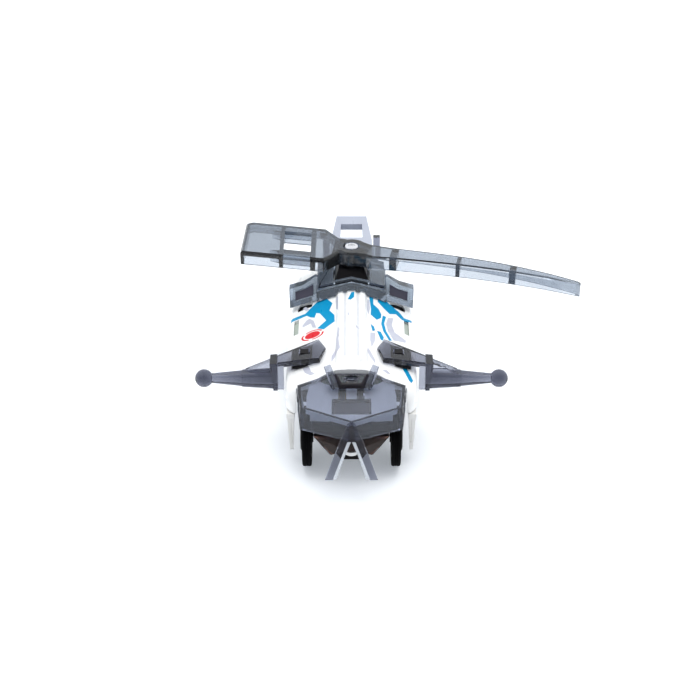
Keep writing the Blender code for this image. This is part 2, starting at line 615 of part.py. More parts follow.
def make_mask():
    """A bent plate: sloping visor, V-shaped front band and two cheeks, with a horned yoke on top."""
    nose = (0.0, BAND_NOSE_Y, visor_z(BAND_NOSE_Y))
    nose_low = (0.0, BAND_NOSE_Y - 0.4, BAND_LOW_Z)
    right = [
        (5.0, VISOR_BACK_Y, VISOR_BACK_Z),
        (MASK_HALF_WIDTH, CHEEK_Y, visor_z(CHEEK_Y)),
        (12.9, BAND_SIDE_Y, visor_z(BAND_SIDE_Y)),
        (13.1, BAND_SIDE_Y, BAND_LOW_Z),
        (MASK_HALF_WIDTH, -33.6, 12.9),
    ]
    points = [nose, nose_low, *right, *mirrored(right)]
    faces = [
        (2, 3, 4, 0, 9, 8, 7),
        (0, 4, 5, 1), (9, 0, 1, 10),
        (3, 6, 5, 4), (11, 8, 9, 10),
    ]
    skin = mesh_from(points, faces)
    plate = bpy.data.objects.new("plate", skin)
    bpy.context.scene.collection.objects.link(plate)
    thick = plate.modifiers.new("thick", "SOLIDIFY")
    thick.thickness = VISOR_THICK * MM
    thick.offset = -1.0
    thick.use_even_offset = True
    bpy.context.view_layer.update()
    made = bpy.data.meshes.new_from_object(plate.evaluated_get(bpy.context.evaluated_depsgraph_get()))
    bpy.data.objects.remove(plate)
    add = [box((-3.9, -33.3, visor_z(-33) - 0.6), (3.9, -32.1, 20.3))]
    for side in (1, -1):
        add.append(bar((side * 3.6, -32.6, 18.6), (side * 6.2, -29.4, 23.6), (1.9, 1.9), (1.4, 1.4)))
    hole = [(x, LENS_Y + y * 0.42) for x, y in round_outline((0, 0), 1.8, 20)]
    solid("mask_visor", SMOKE, made, add=add, cut=[prism(hole, "z", 15.0, 24.0)])
    stem = box((-1.5, -45.9, 11.2), (1.5, -44.75, 16.6))
    prongs = []
    for side in (1, -1):
        up = (side * 0.35, -0.8, -0.5)
        prongs.append(bar((side * 0.2, -45.3, 16.2), (side * 4.9, -51.6, 4.6), (1.7, 1.1), (2.7, 1.7), up))
    solid("mandible_fork", SMOKE, stem, add=prongs)


def make_nose():
    """What shows below and through the mask: its mount, the chin and a round foot."""

    def sloped(x0, x1, y0, y1, low, drop):
        """A block whose top follows the visor's underside, lower by drop."""
        corners = [(x0, y0), (x1, y0), (x1, y1), (x0, y1)]
        top = [(x, y, visor_z(y) - VISOR_THICK - drop) for x, y in corners]
        return loft([[(x, y, low) for x, y in corners], top])

    half = MOUNT_HALF_WIDTH
    block = sloped(-half, half, MOUNT_FRONT_Y, MOUNT_BACK_Y, DECK_Z1 + GAP, 0.9)
    add = [sloped(-half, half, MOUNT_BACK_Y - 0.1, MOUNT_BAR_Y, 14.6, 0.35)]
    for side in (1, -1):
        x0, x1 = side * MOUNT_LEG_X - MOUNT_LEG_HALF, side * MOUNT_LEG_X + MOUNT_LEG_HALF
        add.append(sloped(x0, x1, MOUNT_BAR_Y - 0.1, MOUNT_LEG_Y, 15.6, 0.35))
    solid("mask_mount", BLACK, block, add=add)
    back_right = [(0.0, 4.9), (2.6, 4.9), (5.6, 3.9), (9.7, 9.7)]
    front_right = [(0.0, -43.0, 6.3), (2.3, -42.5, 6.0), (5.2, -41.8, 4.5), (8.6, -41.6, 9.3)]
    back = [(x, -40.8, z) for x, z in back_right]
    rings = [points + mirrored(reversed(points[1:])) for points in (back, front_right)]
    solid("chin_guard", DARK_SMOKE, loft(rings))
    collar_top = KEEL_FRONT_Z - GAP
    collar = cylinder("z", (0, FOOT_Y), FOOT_R, collar_top - 1.0, collar_top, 24)
    solid("nose_collar", WHITE, collar, smooth=30)
    tip = collar_top - 2.2
    rim = collar_top - 1.1
    dome = [(0, tip), (FOOT_R - 1.0, tip + 0.1), (FOOT_R - 0.3, tip + 0.5), (FOOT_R, tip + 0.9)]
    dome += [(FOOT_R, rim), (0, rim)]
    solid("nose_bumper", RUBBER, turned(dome, "z", (0, FOOT_Y), 24), smooth=40)


# --- weapons ---


def pad_z(x):
    share = (abs(x) - PAD_INNER_X) / (FLANGE_X - PAD_INNER_X)
    return PAD_INNER_Z + (PAD_OUTER_Z - PAD_INNER_Z) * share


def make_arm(side, word):
    """A clip-on side weapon: pad, side plate, flange, fin, two-stage spike and ball."""
    plan = [(PAD_INNER_X, -19.2), (8.2, -24.2), (FLANGE_X, -24.2), (FLANGE_X, -20.0), (8.6, -14.4)]
    pad = loft([[(side * x, y, pad_z(x) - drop) for x, y in plan] for drop in (PAD_THICK, 0.0)])
    x0, x1 = sorted((side * 17.4, side * (FLANGE_X + 0.2)))
    flange = [
        (FLANGE_X, FLANGE_LOW_Z), (FLANGE_LOW_X, FLANGE_LOW_Z), (FLANGE_TOP_X, PAD_OUTER_Z - 1.4),
        (FLANGE_TOP_X, PAD_OUTER_Z - 0.2), (FLANGE_X, PAD_OUTER_Z - 0.02),
    ]

    def on_axis(x):
        return (side * x, SPIKE_Y, SPIKE_Z)

    fin = [(side * 20.3, 16.0), (side * 20.3, 20.6), (side * 27.5, 17.3), (side * 27.5, 16.0)]
    add = [
        box((x0, -24.1, FLANGE_LOW_Z + 0.1), (x1, -20.2, PAD_OUTER_Z - 0.3)),
        prism([(side * x, z) for x, z in flange], "y", -24.6, -19.7),
        bar(on_axis(20.0), on_axis(SPIKE_STEP_X), (4.4, 4.4), (3.7, 3.7)),
        bar(on_axis(SPIKE_STEP_X - 0.3), on_axis(BALL_X - 1.2), (3.4, 3.4), (2.1, 2.1)),
        sphere(on_axis(BALL_X), BALL_R, 20, 10),
        prism(fin, "y", -21.8, -20.7),
    ]
    hole = PEG_HALF + GAP
    peg_hole = box((side * PEG_X - hole, PEG_Y - hole, 15.0), (side * PEG_X + hole, PEG_Y + hole, 26.0))
    seated_pad = solid("pad", SMOKE, pad, cut=[shell_body(GAP), peg_hole])
    solid_from(seated_pad, f"arm_{word}", SMOKE, add=add)
    low, high = sorted((side * 10.6, side * 15.2))
    front_y, throat_y, back_y = -24.5, -23.2, -16.4
    corners = [(low, front_y), (high, front_y), (high, back_y), (low, back_y)]
    head = loft([[(x, y, 19.4) for x, y in corners], [(x, y, socket_top(x)) for x, y in corners]])
    throat = box((low, throat_y, DECK_Z1 + GAP), (high, back_y, 20.0))
    peg = prism(square(side * PEG_X, PEG_Y, PEG_HALF), "z", 18.0, pad_z(PEG_X) + 0.1)
    seated_head = solid("head", BLACK, head, cut=[shell_body(GAP)])
    solid_from(seated_head, f"arm_socket_{word}", BLACK, add=[throat, peg])


def socket_top(x):
    return pad_z(x) - PAD_THICK - GAP


def make_saddle():
    """Armour over the carapace: a ridged middle between two raised pods, cut to sit on the shell."""

    def front_y(z):
        return 5.0 + 0.42 * (z - 17.5)

    middle_outline = [(-9.6, 18.0), (9.6, 18.0), (9.6, 24.5), (0.0, 26.9), (-9.6, 24.5)]
    middle = loft([
        [(x, front_y(z) - 1.2, z) for x, z in middle_outline],
        [(x, 24.5, z) for x, z in middle_outline],
    ])
    pods, pockets = [], []
    for side in (1, -1):
        outline = [(9.2, 22.0), (17.0, 19.7), (17.2, 24.6), (13.2, 25.8), (9.9, 27.9), (9.2, 27.7)]
        front = [(side * x, front_y(z), z) for x, z in outline]
        rear = [(side * x, POD_REAR_Y, z) for x, z in outline]
        pods.append(loft([front, rear]))
        pocket = [(10.5, 22.9), (15.4, 21.4), (15.6, 23.9), (12.6, 24.8), (10.5, 25.9)]
        pockets.append(loft([
            [(side * x, 2.0, z) for x, z in pocket],
            [(side * x, front_y(z) + 0.9, z) for x, z in pocket],
        ]))
    channel = [(-9.0, 23.5), (0.0, 25.75), (9.0, 23.5), (9.0, 30.0), (-9.0, 30.0)]
    lip_channel = prism(channel, "y", 8.7, 9.9)
    post_room = box((-5.0, POST_ROOM_Y, 16.0), (5.0, 22.6, 30.0))
    saddle = solid("saddle_armour", SMOKE, middle, add=pods)
    cuts = [shell_body(GAP), post_room, lip_channel, *pockets]
    solid_from(saddle, "saddle_armour", SMOKE, cut=cuts)
    rings = []
    front = POST_ROOM_Y + 0.4
    levels = ((4.6, 13.4, 22.2, DECK_Z1 + GAP), (4.6, front, 22.2, 25.6), (3.6, 14.2, 21.0, 27.8))
    for half, front, rear, z in levels:
        rings.append([(-half, front, z), (half, front, z), (half, rear, z), (-half, rear, z)])
    base = loft(rings)
    column = cylinder("z", (0, ROTOR_Y), 3.0, 26.0, ROTOR_LOW_Z - GAP, 24)
    bore = cylinder("z", (0, ROTOR_Y), 0.95, 22.0, 30.0, 16)
    solid("rotor_post", BLACK, base, add=[column], cut=[bore])


def make_rotor():
    """A spinning weapon: hub with a wide windowed cleaver on one side and a long sabre on the other."""
    centre = (0, ROTOR_Y)
    cleaver = [
        (-1.5, 4.2), (-4.1, 4.3), (-8.9, 9.0), (-30.6, 9.2),
        (-32.3, 7.9), (-29.6, -9.2), (-5.8, -9.1), (-2.6, -3.6),
    ]
    sabre = [(1.0, -4.2), (4.2, -4.2), (7.0, -5.2)] + sabre_edge(-1)
    sabre += sabre_edge(1)[::-1] + [(5.4, 2.3), (1.5, 4.2)]
    hub = cylinder("z", centre, ROTOR_HUB_R, ROTOR_LOW_Z, ROTOR_TOP_Z, 32)
    blades = [
        prism(turned_about_z(cleaver, centre, ROTOR_TURN), "z", ROTOR_LOW_Z, ROTOR_TOP_Z),
        prism(turned_about_z(sabre, centre, ROTOR_TURN), "z", ROTOR_LOW_Z + 0.05, ROTOR_TOP_Z - 0.05),
    ]
    window = turned_about_z([(-18.1, -5.6), (-10.4, -5.6), (-12.5, 5.2), (-20.2, 5.2)], centre, ROTOR_TURN)
    cuts = [
        prism(window, "z", 20.0, 40.0),
        cylinder("z", centre, ROTOR_BORE_R, 20.0, 40.0, 24),
        cylinder("z", centre, ROTOR_HEAD_R + 0.5, ROTOR_TOP_Z - 1.0, 40.0, 24),
    ]
    solid("rotor", SMOKE, hub, add=blades, cut=cuts, smooth=30)
    low, head = ROTOR_TOP_Z - 1.0 + 0.1, ROTOR_TOP_Z + 0.35
    shoulder = ROTOR_LOW_Z - GAP + 0.1
    pin = [
        (0, 23.0), (0.8, 23.0), (0.8, shoulder), (ROTOR_PIN_R, shoulder), (ROTOR_PIN_R, low),
        (ROTOR_HEAD_R, low), (ROTOR_HEAD_R, head - 0.4), (ROTOR_HEAD_R - 0.5, head), (0, head),
    ]
    cross = []
    for half_x, half_y in ((1.0, 0.2), (0.2, 1.0)):
        cross.append(box((-half_x, ROTOR_Y - half_y, head - 0.35), (half_x, ROTOR_Y + half_y, head + 1.0)))
    solid("rotor_screw", STEEL, turned(pin, "z", centre, 24), cut=cross, smooth=30)


def sabre_edge(side):
    """One edge of the sabre, in the rotor's own plan: it narrows and sweeps forwards to the tip."""
    points = []
    for k in range(9):
        t = k / 8
        x = 12.0 + 52.0 * t
        middle = -1.6 - 0.6 * t - 6.2 * t**2.6
        half = 3.2 - 1.3 * t - 1.1 * t**3
        points.append((x, middle + side * half))
    return points


def make_tail():
    seat = shell_body(GAP)
    low, high = (28.5, 21.6), (44.8, 28.6)
    rise = (high[1] - low[1]) / (high[0] - low[0])
    thick = 1.9

    def across(y, half):
        z = low[1] + (y - low[0]) * rise
        return [(-half, y, z - thick), (half, y, z - thick), (half, y, z), (-half, y, z)]

    plate = loft([across(low[0], 6.2), across(36.5, 6.0), across(high[0], 4.4)])
    slot_z = low[1] + (40.0 - low[0]) * rise
    slot = prism([(-3.3, 37.4), (3.3, 37.4), (3.1, 42.0), (-3.1, 42.0)], "z", slot_z - 6, slot_z + 6)
    foot = loft([
        [(-5.0, 28.5, 16.0), (5.0, 28.5, 16.0), (5.0, 34.5, 16.0), (-5.0, 34.5, 16.0)],
        [(-5.0, 28.5, 21.0), (5.0, 28.5, 21.0), (5.0, 33.5, 22.6), (-5.0, 33.5, 22.6)],
    ])
    solid("tail_loop", WHITE, plate, add=[foot], cut=[seat, slot])
    bar_mesh = box((-7.8, 36.4, 11.6), (7.8, 38.2, 17.0))
    tongue = box((-3.0, 31.3, 10.6), (3.0, 37.0, 11.7))
    lugs = []
    for x in (7.35, -7.35):
        lugs.append(bar((x, 37.3, 16.0), (x, 37.9, 25.5), (2.0, 2.4), (2.0, 2.2), up=(0, 1, 0)))
    solid("tail_yoke", SMOKE, bar_mesh, add=[tongue, *lugs])


def main():
    clear_scene()
    make_top_shell()
    for side, word in ((-1, "left"), (1, "right")):
        make_leg_rail(side, f"leg_rail_{word}")
        make_arm(side, word)
    make_tub()
    make_drive()
    make_belly()
    make_electronics()
    make_mask()
    make_nose()
    make_saddle()
    make_rotor()
    make_tail()
    turning = ["drive_axle", "axle_gear", "tyre_left", "tyre_right", "wheel_hub_left", "wheel_hub_right"]
    set_origins(turning, (0, AXLE_Y, AXLE_Z))
    set_origins(["idler_gear"], (0, *IDLER_AT))
    set_origins(["motor_shaft", "motor_pinion"], (0, *MOTOR_AT))
    set_origins(["rotor"], (0, ROTOR_Y, ROTOR_LOW_Z))


main()
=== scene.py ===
"""Looks of the battling bug robot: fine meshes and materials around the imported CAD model.

Lengths are in millimetres in the CAD model's frame, and are scaled to metres when a mesh is made.
+X is the robot's left-to-right as seen from the front, +Y runs from nose to tail, +Z is up.
"""

from math import cos, pi, radians, sin

import bmesh
import bpy
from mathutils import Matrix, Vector


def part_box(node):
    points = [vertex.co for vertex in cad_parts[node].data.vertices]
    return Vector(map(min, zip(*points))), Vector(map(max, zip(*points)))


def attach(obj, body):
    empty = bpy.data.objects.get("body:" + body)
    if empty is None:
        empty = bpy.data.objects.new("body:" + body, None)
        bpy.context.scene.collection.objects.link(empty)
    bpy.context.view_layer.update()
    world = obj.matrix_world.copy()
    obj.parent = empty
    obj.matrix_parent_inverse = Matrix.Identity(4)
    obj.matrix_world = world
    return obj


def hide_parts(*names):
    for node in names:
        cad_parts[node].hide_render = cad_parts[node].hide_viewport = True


MM = 0.001
GAP = 0.3  # clearance between neighbouring pieces
X, Y, Z = 0, 1, 2

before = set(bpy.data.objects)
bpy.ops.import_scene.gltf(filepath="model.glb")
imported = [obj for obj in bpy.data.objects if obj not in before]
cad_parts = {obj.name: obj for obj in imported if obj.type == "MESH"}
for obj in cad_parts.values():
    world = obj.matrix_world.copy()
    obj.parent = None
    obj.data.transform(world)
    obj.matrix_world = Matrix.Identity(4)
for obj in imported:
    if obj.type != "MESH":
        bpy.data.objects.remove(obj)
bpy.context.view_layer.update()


def span(node, axis):
    low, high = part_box(node)
    return low[axis] / MM, high[axis] / MM


def middle(node, axis):
    return sum(span(node, axis)) / 2


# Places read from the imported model
AXLE_Y, AXLE_Z = middle("drive_axle", Y), middle("drive_axle", Z)
TYRE_INNER, TYRE_OUTER = span("tyre_right", X)
FLOOR_Z = span("tyre_right", Z)[0]
FLOOR_GAP = 0.02  # keeps the floor off the lowest faces
WHEEL_R = AXLE_Z - FLOOR_Z
RIM_Z = span("top_shell", Z)[0]
ROTOR_Y = middle("rotor_screw", Y)
ROTOR_LOW_Z, ROTOR_TOP_Z = span("rotor", Z)
LENS_Y = span("light_pipe", Y)[0] + 0.85
BALL_TIP_X = span("arm_right", X)[1]
LEG_TIP_Z = span("leg_rail_right", Z)[0]
MOUNT_HALF_WIDTH = span("mask_mount", X)[1]
MOUNT_FRONT_Y, MOUNT_LEG_Y = span("mask_mount", Y)

# Carapace
SHELL_WALL = 1.2
SPINE_HALF_WIDTH = 4.3
SHELL_CORNER_R = 1.7
BOSS_PLACES = [(x, y) for x in (-11.6, 11.6) for y in (-11.5, 25.0)]
BOSS_R, BOSS_BORE_R = 1.7, 0.8

# Face mask
VISOR_BACK_Y, VISOR_BACK_Z, VISOR_SLOPE = -27.7, 20.0, 0.2333
VISOR_THICK = 1.1
MASK_HALF_WIDTH, BAND_HALF_WIDTH = 13.8, 12.9
CHEEK_Y, BAND_SIDE_Y, BAND_NOSE_Y = -31.7, -39.0, -44.0
BAND_LOW_Z = 10.4
VISOR_SEAT = 0.45  # the carapace lies this far below the visor's underside
MOUNT_BACK_Y, MOUNT_BAR_Y = -35.9, -35.2
MOUNT_LEG_X, MOUNT_LEG_HALF = 2.35, 0.7
FORK_TOP_Y, FORK_TOP_Z, FORK_LEAN = -45.3, 16.2, 0.543
FORK_THICK = 1.0
LENS_R, LENS_SQUASH = 1.8, 0.42

# Side weapons
PEG_X, PEG_Y, PEG_HALF = 12.3, -20.0, 1.1
PAD_INNER_X, PAD_INNER_Z, PAD_OUTER_Z, PAD_THICK = 6.7, 22.75, 21.0, 1.5
FLANGE_X, FLANGE_LOW_X, FLANGE_TOP_X, FLANGE_LOW_Z = 19.3, 20.4, 21.2, 12.6
SPIKE_Y, SPIKE_Z, SPIKE_STEP_X = -22.4, 15.2, 28.6
BALL_R = 2.4
BALL_X = BALL_TIP_X - BALL_R

# Rotor
ROTOR_TURN = radians(-11.3)
ROTOR_HUB_R, ROTOR_BORE_R, ROTOR_HEAD_R = 4.5, 1.45, 1.85
ROTOR_WALL, SABRE_WALL = 1.5, 0.7
POST_ROOM_Y = span("rotor_post", Y)[0] - 0.4
POD_REAR_Y = 10.8
ROTOR_CHAMFER = 0.55

# Legs and wheels
RAIL_INNER_X, RAIL_OUTER_X, LEG_X = 14.6, 16.7, 15.6
LEG_PLACES_Y = (-31.8, -8.0, 17.0)
TYRE_BORE_R, TYRE_EDGE_R = 5.6, 0.45

# Edges
FINE_EDGE, SOFT_EDGE = 0.1, 0.18


# --- closed shapes, each returned as a mesh ---


def mesh_from(points, faces):
    """A mesh from millimetre points and faces, with its normals pointing out."""
    mesh = bpy.data.meshes.new("shape")
    bm = bmesh.new()
    verts = [bm.verts.new(Vector(p) * MM) for p in points]
    for face in faces:
        bm.faces.new([verts[i] for i in face])
    bmesh.ops.recalc_face_normals(bm, faces=bm.faces)
    bm.to_mesh(mesh)
    bm.free()
    return mesh


def loft(rings):
    """A closed body through rings of 3-D points, each ring with the same number of points."""
    count = len(rings[0])
    points = [p for ring in rings for p in ring]
    faces = [list(range(count)), list(range(len(points) - count, len(points)))]
    for r in range(len(rings) - 1):
        for i in range(count):
            j = (i + 1) % count
            faces.append([r * count + i, r * count + j, (r + 1) * count + j, (r + 1) * count + i])
    return mesh_from(points, faces)


def placed(a, b, along, axis):
    """A point from its place along an axis and its other two coordinates, in X, Y, Z order."""
    return {"x": (along, a, b), "y": (a, along, b), "z": (a, b, along)}[axis]


def prism(outline, axis, low, high, chamfer_low=0.0, chamfer_high=0.0):
    """A flat outline pulled along an axis, with its rims chamfered if asked."""
    levels = [(low, 0.0), (high, 0.0)]
    if chamfer_high:
        levels[1:] = [(high - chamfer_high, 0.0), (high, chamfer_high)]
    if chamfer_low:
        levels[:1] = [(low, chamfer_low), (low + chamfer_low, 0.0)]
    return loft([[placed(a, b, t, axis) for a, b in inset(outline, by)] for t, by in levels])


def inset(outline, by):
    """A flat outline moved inwards by a distance, or outwards if it is negative, with its corners mitred."""
    if not by:
        return outline
    count = len(outline)
    area = sum(outline[i - 1][0] * outline[i][1] - outline[i][0] * outline[i - 1][1] for i in range(count))
    inwards = 1 if area > 0 else -1
    moved = []
    for i in range(count):
        here = Vector(outline[i])
        before = (here - Vector(outline[i - 1])).normalized()
        after = (Vector(outline[(i + 1) % count]) - here).normalized()
        normal = Vector((-before.y - after.y, before.x + after.x)) * inwards
        normal.normalize()
        lean = normal.dot(Vector((-before.y, before.x)) * inwards)
        moved.append(tuple(here + normal * (by / max(lean, 0.3))))
    return moved


def box(low, high, chamfer=0.0):
    (x0, y0, z0), (x1, y1, z1) = low, high
    return prism([(x0, y0), (x1, y0), (x1, y1), (x0, y1)], "z", z0, z1, chamfer, chamfer)


def sided_box(side, inner, outer, y0, y1, z0, z1):
    """A box on one side of the middle, from its inner to its outer distance."""
    x0, x1 = sorted((side * inner, side * outer))
    return box((x0, y0, z0), (x1, y1, z1))


def round_outline(centre, radius, steps):
    turn = 2 * pi / steps
    return [(centre[0] + radius * cos(k * turn), centre[1] + radius * sin(k * turn)) for k in range(steps)]


def cylinder(axis, centre, radius, low, high, steps=40):
    return prism(round_outline(centre, radius, steps), axis, low, high)


def turned(profile, axis, centre, steps=64):
    """A body turned about a line along X or Z, from a profile of (radius, place along the line).

    The profile closes on itself unless its first and last points lie on the line.
    """
    points, rows = [], []
    for radius, along in profile:
        ring = []
        for k in range(1 if radius == 0 else steps):
            a = 2 * pi * k / steps
            ring.append(len(points))
            points.append(placed(centre[0] + radius * cos(a), centre[1] + radius * sin(a), along, axis))
        rows.append(ring)
    pairs = list(zip(rows, rows[1:]))
    if profile[0][0] > 0:
        pairs.append((rows[-1], rows[0]))
    faces = []
    for one, two in pairs:
        for k in range(steps):
            j = (k + 1) % steps
            quad = [one[k % len(one)], one[j % len(one)], two[j % len(two)], two[k % len(two)]]
            faces.append(list(dict.fromkeys(quad)))
    return mesh_from(points, [f for f in faces if len(f) > 2])


def sphere(centre, radius, steps=48, rows=24):
    rings = [(radius * sin(pi * i / rows), centre[2] - radius * cos(pi * i / rows)) for i in range(rows + 1)]
    rings[0], rings[-1] = (0, rings[0][1]), (0, rings[-1][1])
    return turned(rings, "z", centre[:2], steps)


def bar(start, end, size_start, size_end, up=(0, 0, 1), chamfer=0.0):
    """A straight tapered bar with (width, depth) at each end, depth nearest to up, long edges chamfered."""
    direction = (Vector(end) - Vector(start)).normalized()
    side = direction.cross(Vector(up)).normalized()
    depth = side.cross(direction)
    rings = []
    for place, (width, thick) in ((start, size_start), (end, size_end)):
        corners = inset_corners(width / 2, thick / 2, chamfer)
        rings.append([tuple(Vector(place) + side * a + depth * b) for a, b in corners])
    return loft(rings)


def inset_corners(half_width, half_depth, cut):
    """The corners of a rectangle, each cut off at an angle if cut isn't zero."""
    corners = []
    for a, b in ((-1, -1), (1, -1), (1, 1), (-1, 1)):
        near = [(a * (half_width - cut), b * half_depth), (a * half_width, b * (half_depth - cut))]
        if not cut:
            near = near[:1]
        corners += near if a * b < 0 else near[::-1]
    return corners


def mirrored(points):
    return [(-p[0], *p[1:]) for p in points]


def turned_about_z(points, centre, angle):
    """Plan points (x, y) turned about a centre."""
    c, s = cos(angle), sin(angle)
    return [(centre[0] + x * c - y * s, centre[1] + x * s + y * c) for x, y in points]


def joined(meshes):
    """Several separate closed shapes as one mesh."""
    bm = bmesh.new()
    for mesh in meshes:
        bm.from_mesh(mesh)
    made = bpy.data.meshes.new("shapes")
    bm.to_mesh(made)
    bm.free()
    return made


# --- objects ---


def combine(base, operations):
    """A mesh made from a base and a list of (boolean operation, shape), done in order."""
    scene = bpy.context.scene.collection
    obj = bpy.data.objects.new("base", base)
    scene.objects.link(obj)
    tools = []
    for operation, shape in operations:
        tool = bpy.data.objects.new("tool", shape)
        scene.objects.link(tool)
        tools.append(tool)
        modifier = obj.modifiers.new(operation, "BOOLEAN")
        modifier.operation = operation
        modifier.solver = "EXACT"
        modifier.object = tool
    bpy.context.view_layer.update()
    graph = bpy.context.evaluated_depsgraph_get()
    made = bpy.data.meshes.new_from_object(obj.evaluated_get(graph))
    for spare in [obj, *tools]:
        bpy.data.objects.remove(spare)
    return made


def cleaned(mesh):
    """Joins points that fall together and merges flat neighbours."""
    bm = bmesh.new()
    bm.from_mesh(mesh)
    bmesh.ops.remove_doubles(bm, verts=bm.verts, dist=0.004 * MM)
    bmesh.ops.dissolve_degenerate(bm, dist=0.004 * MM, edges=bm.edges)
    bmesh.ops.dissolve_limit(bm, angle_limit=radians(0.3), verts=bm.verts, edges=bm.edges)
    bm.to_mesh(mesh)
    bm.free()
    return mesh


def round_edges(obj, width):
    """Small rounded edges, with the shading kept flat on the large faces."""
    bevel = obj.modifiers.new("edges", "BEVEL")
    bevel.width = width * MM
    bevel.segments = 2
    bevel.limit_method = "ANGLE"
    bevel.angle_limit = radians(30)
    bevel.use_clamp_overlap = True
    shade = obj.modifiers.new("shading", "WEIGHTED_NORMAL")
    shade.keep_sharp = True


def piece(name, body, material, base, add=(), cut=(), edge=FINE_EDGE, stands_for=(), smooth=40):
    """A visible piece that rides on a CAD body: a base shape with others joined to it and others cut away."""
    steps = [("UNION", shape) for shape in add] + [("DIFFERENCE", shape) for shape in cut]
    mesh = cleaned(combine(base, steps)) if steps else base
    mesh.name = name
    obj = bpy.data.objects.new(name, mesh)
    bpy.context.scene.collection.objects.link(obj)
    mesh.materials.clear()
    mesh.materials.append(material)
    mesh.shade_smooth()
    mesh.set_sharp_from_angle(angle=radians(smooth))
    if edge:
        for sharp in mesh.edges:
            sharp.use_edge_sharp = False
        round_edges(obj, edge)
    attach(obj, body)
    if stands_for:
        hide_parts(*stands_for)
    return obj


def dress(names, material, edge=FINE_EDGE):
    """Gives CAD nodes that stay a finished material and softened edges."""
    for name in names:
        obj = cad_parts[name]
        for index in range(len(obj.material_slots)):
            obj.material_slots[index].material = material
        if edge:
            weld = obj.modifiers.new("weld", "WELD")
            weld.merge_threshold = 0.002 * MM
            round_edges(obj, edge)


# --- materials ---


def new_material(name):
    """A material with its node tree, its shader and the object's own coordinates."""
    made = bpy.data.materials.new(name)
    made.use_nodes = True
    tree = made.node_tree
    place = tree.nodes.new("ShaderNodeTexCoord").outputs["Object"]
    return made, tree, tree.nodes["Principled BSDF"], place


def linked(tree, kind, inputs, **settings):
    """A node with its inputs set to values or linked from sockets."""
    made = tree.nodes.new(kind)
    for key, value in settings.items():
        setattr(made, key, value)
    for key, value in inputs.items():
        if isinstance(value, bpy.types.NodeSocket):
            tree.links.new(value, made.inputs[key])
        else:
            made.inputs[key].default_value = value
    return made


def noise(tree, place, size, detail=3.0, stretch=(1, 1, 1)):
    """Noise with features of about size millimetres, drawn out along an axis where stretch is under 1."""
    moved = linked(tree, "ShaderNodeMapping", {"Vector": place, "Scale": stretch}).outputs["Vector"]
    settings = {"Vector": moved, "Scale": 1 / (size * MM), "Detail": detail}
    texture = linked(tree, "ShaderNodeTexNoise", settings)
    return texture.outputs["Fac"]


def spread(tree, value, low, high):
    """A noise value carried to a range."""
    inputs = {"Value": value, "From Min": 0.3, "From Max": 0.7, "To Min": low, "To Max": high}
    return linked(tree, "ShaderNodeMapRange", inputs).outputs["Result"]


def two_tone(tree, share, one, two):
    mix = linked(tree, "ShaderNodeMix", {"Factor": share}, data_type="RGBA")
    mix.inputs[6].default_value = (*one, 1.0)
    mix.inputs[7].default_value = (*two, 1.0)
    return mix.outputs[2]


def set_bump(tree, shader, height, depth):
    """A fine relief, its depth in millimetres."""
    made = linked(tree, "ShaderNodeBump", {"Height": height, "Distance": depth * MM, "Strength": 1.0})
    tree.links.new(made.outputs["Normal"], shader.inputs["Normal"])


def set_fixed(shader, **values):
    for key, value in values.items():
        shader.inputs[key.replace("_", " ")].default_value = value


def moulded(name, colour, other, rough, grain=0.25, depth=0.004, blotch=9.0, **fixed):
    """Moulded plastic or rubber: two close tones in soft blotches, a fine grain and uneven gloss."""
    made, tree, shader, place = new_material(name)
    tone = spread(tree, noise(tree, place, blotch, 4.0), 0.0, 1.0)
    tree.links.new(two_tone(tree, tone, colour, other), shader.inputs["Base Color"])
    worn = noise(tree, place, blotch * 0.4, 5.0, (1, 0.25, 1))
    tree.links.new(spread(tree, worn, rough[0], rough[1]), shader.inputs["Roughness"])
    set_bump(tree, shader, noise(tree, place, grain, 2.0), depth)
    set_fixed(shader, **fixed)
    return made


def smoked(name, tint, density, base, clear, rough=(0.03, 0.09), bend=1.36):
    """Smoky plastic: a milky share, and a clear share that darkens with depth. Its gloss shows flow marks."""
    made, tree, shader, place = new_material(name)
    flow = spread(tree, noise(tree, place, 6.0, 4.0, (0.35, 1, 1)), 0.0, 1.0)
    darker = tuple(0.92 * share for share in base)
    tree.links.new(two_tone(tree, flow, base, darker), shader.inputs["Base Color"])
    tree.links.new(spread(tree, noise(tree, place, 2.5, 5.0), rough[0], rough[1]), shader.inputs["Roughness"])
    set_bump(tree, shader, noise(tree, place, 3.0, 1.0, (0.5, 1, 1)), 0.006)
    set_fixed(shader, Transmission_Weight=clear, IOR=bend)
    depth = linked(tree, "ShaderNodeVolumeAbsorption", {"Color": (*tint, 1.0), "Density": density})
    tree.links.new(depth.outputs["Volume"], tree.nodes["Material Output"].inputs["Volume"])
    return made


def metal(name, colour, other, rough):
    """Metal with fine tool marks and a little tarnish."""
    made, tree, shader, place = new_material(name)
    tarnish = spread(tree, noise(tree, place, 2.2, 5.0), 0, 1)
    tree.links.new(two_tone(tree, tarnish, colour, other), shader.inputs["Base Color"])
    marks = noise(tree, place, 0.15, 3.0, (0.12, 1, 1))
    tree.links.new(spread(tree, marks, rough[0], rough[1]), shader.inputs["Roughness"])
    set_bump(tree, shader, marks, 0.003)
    set_fixed(shader, Metallic=1.0)
    return made


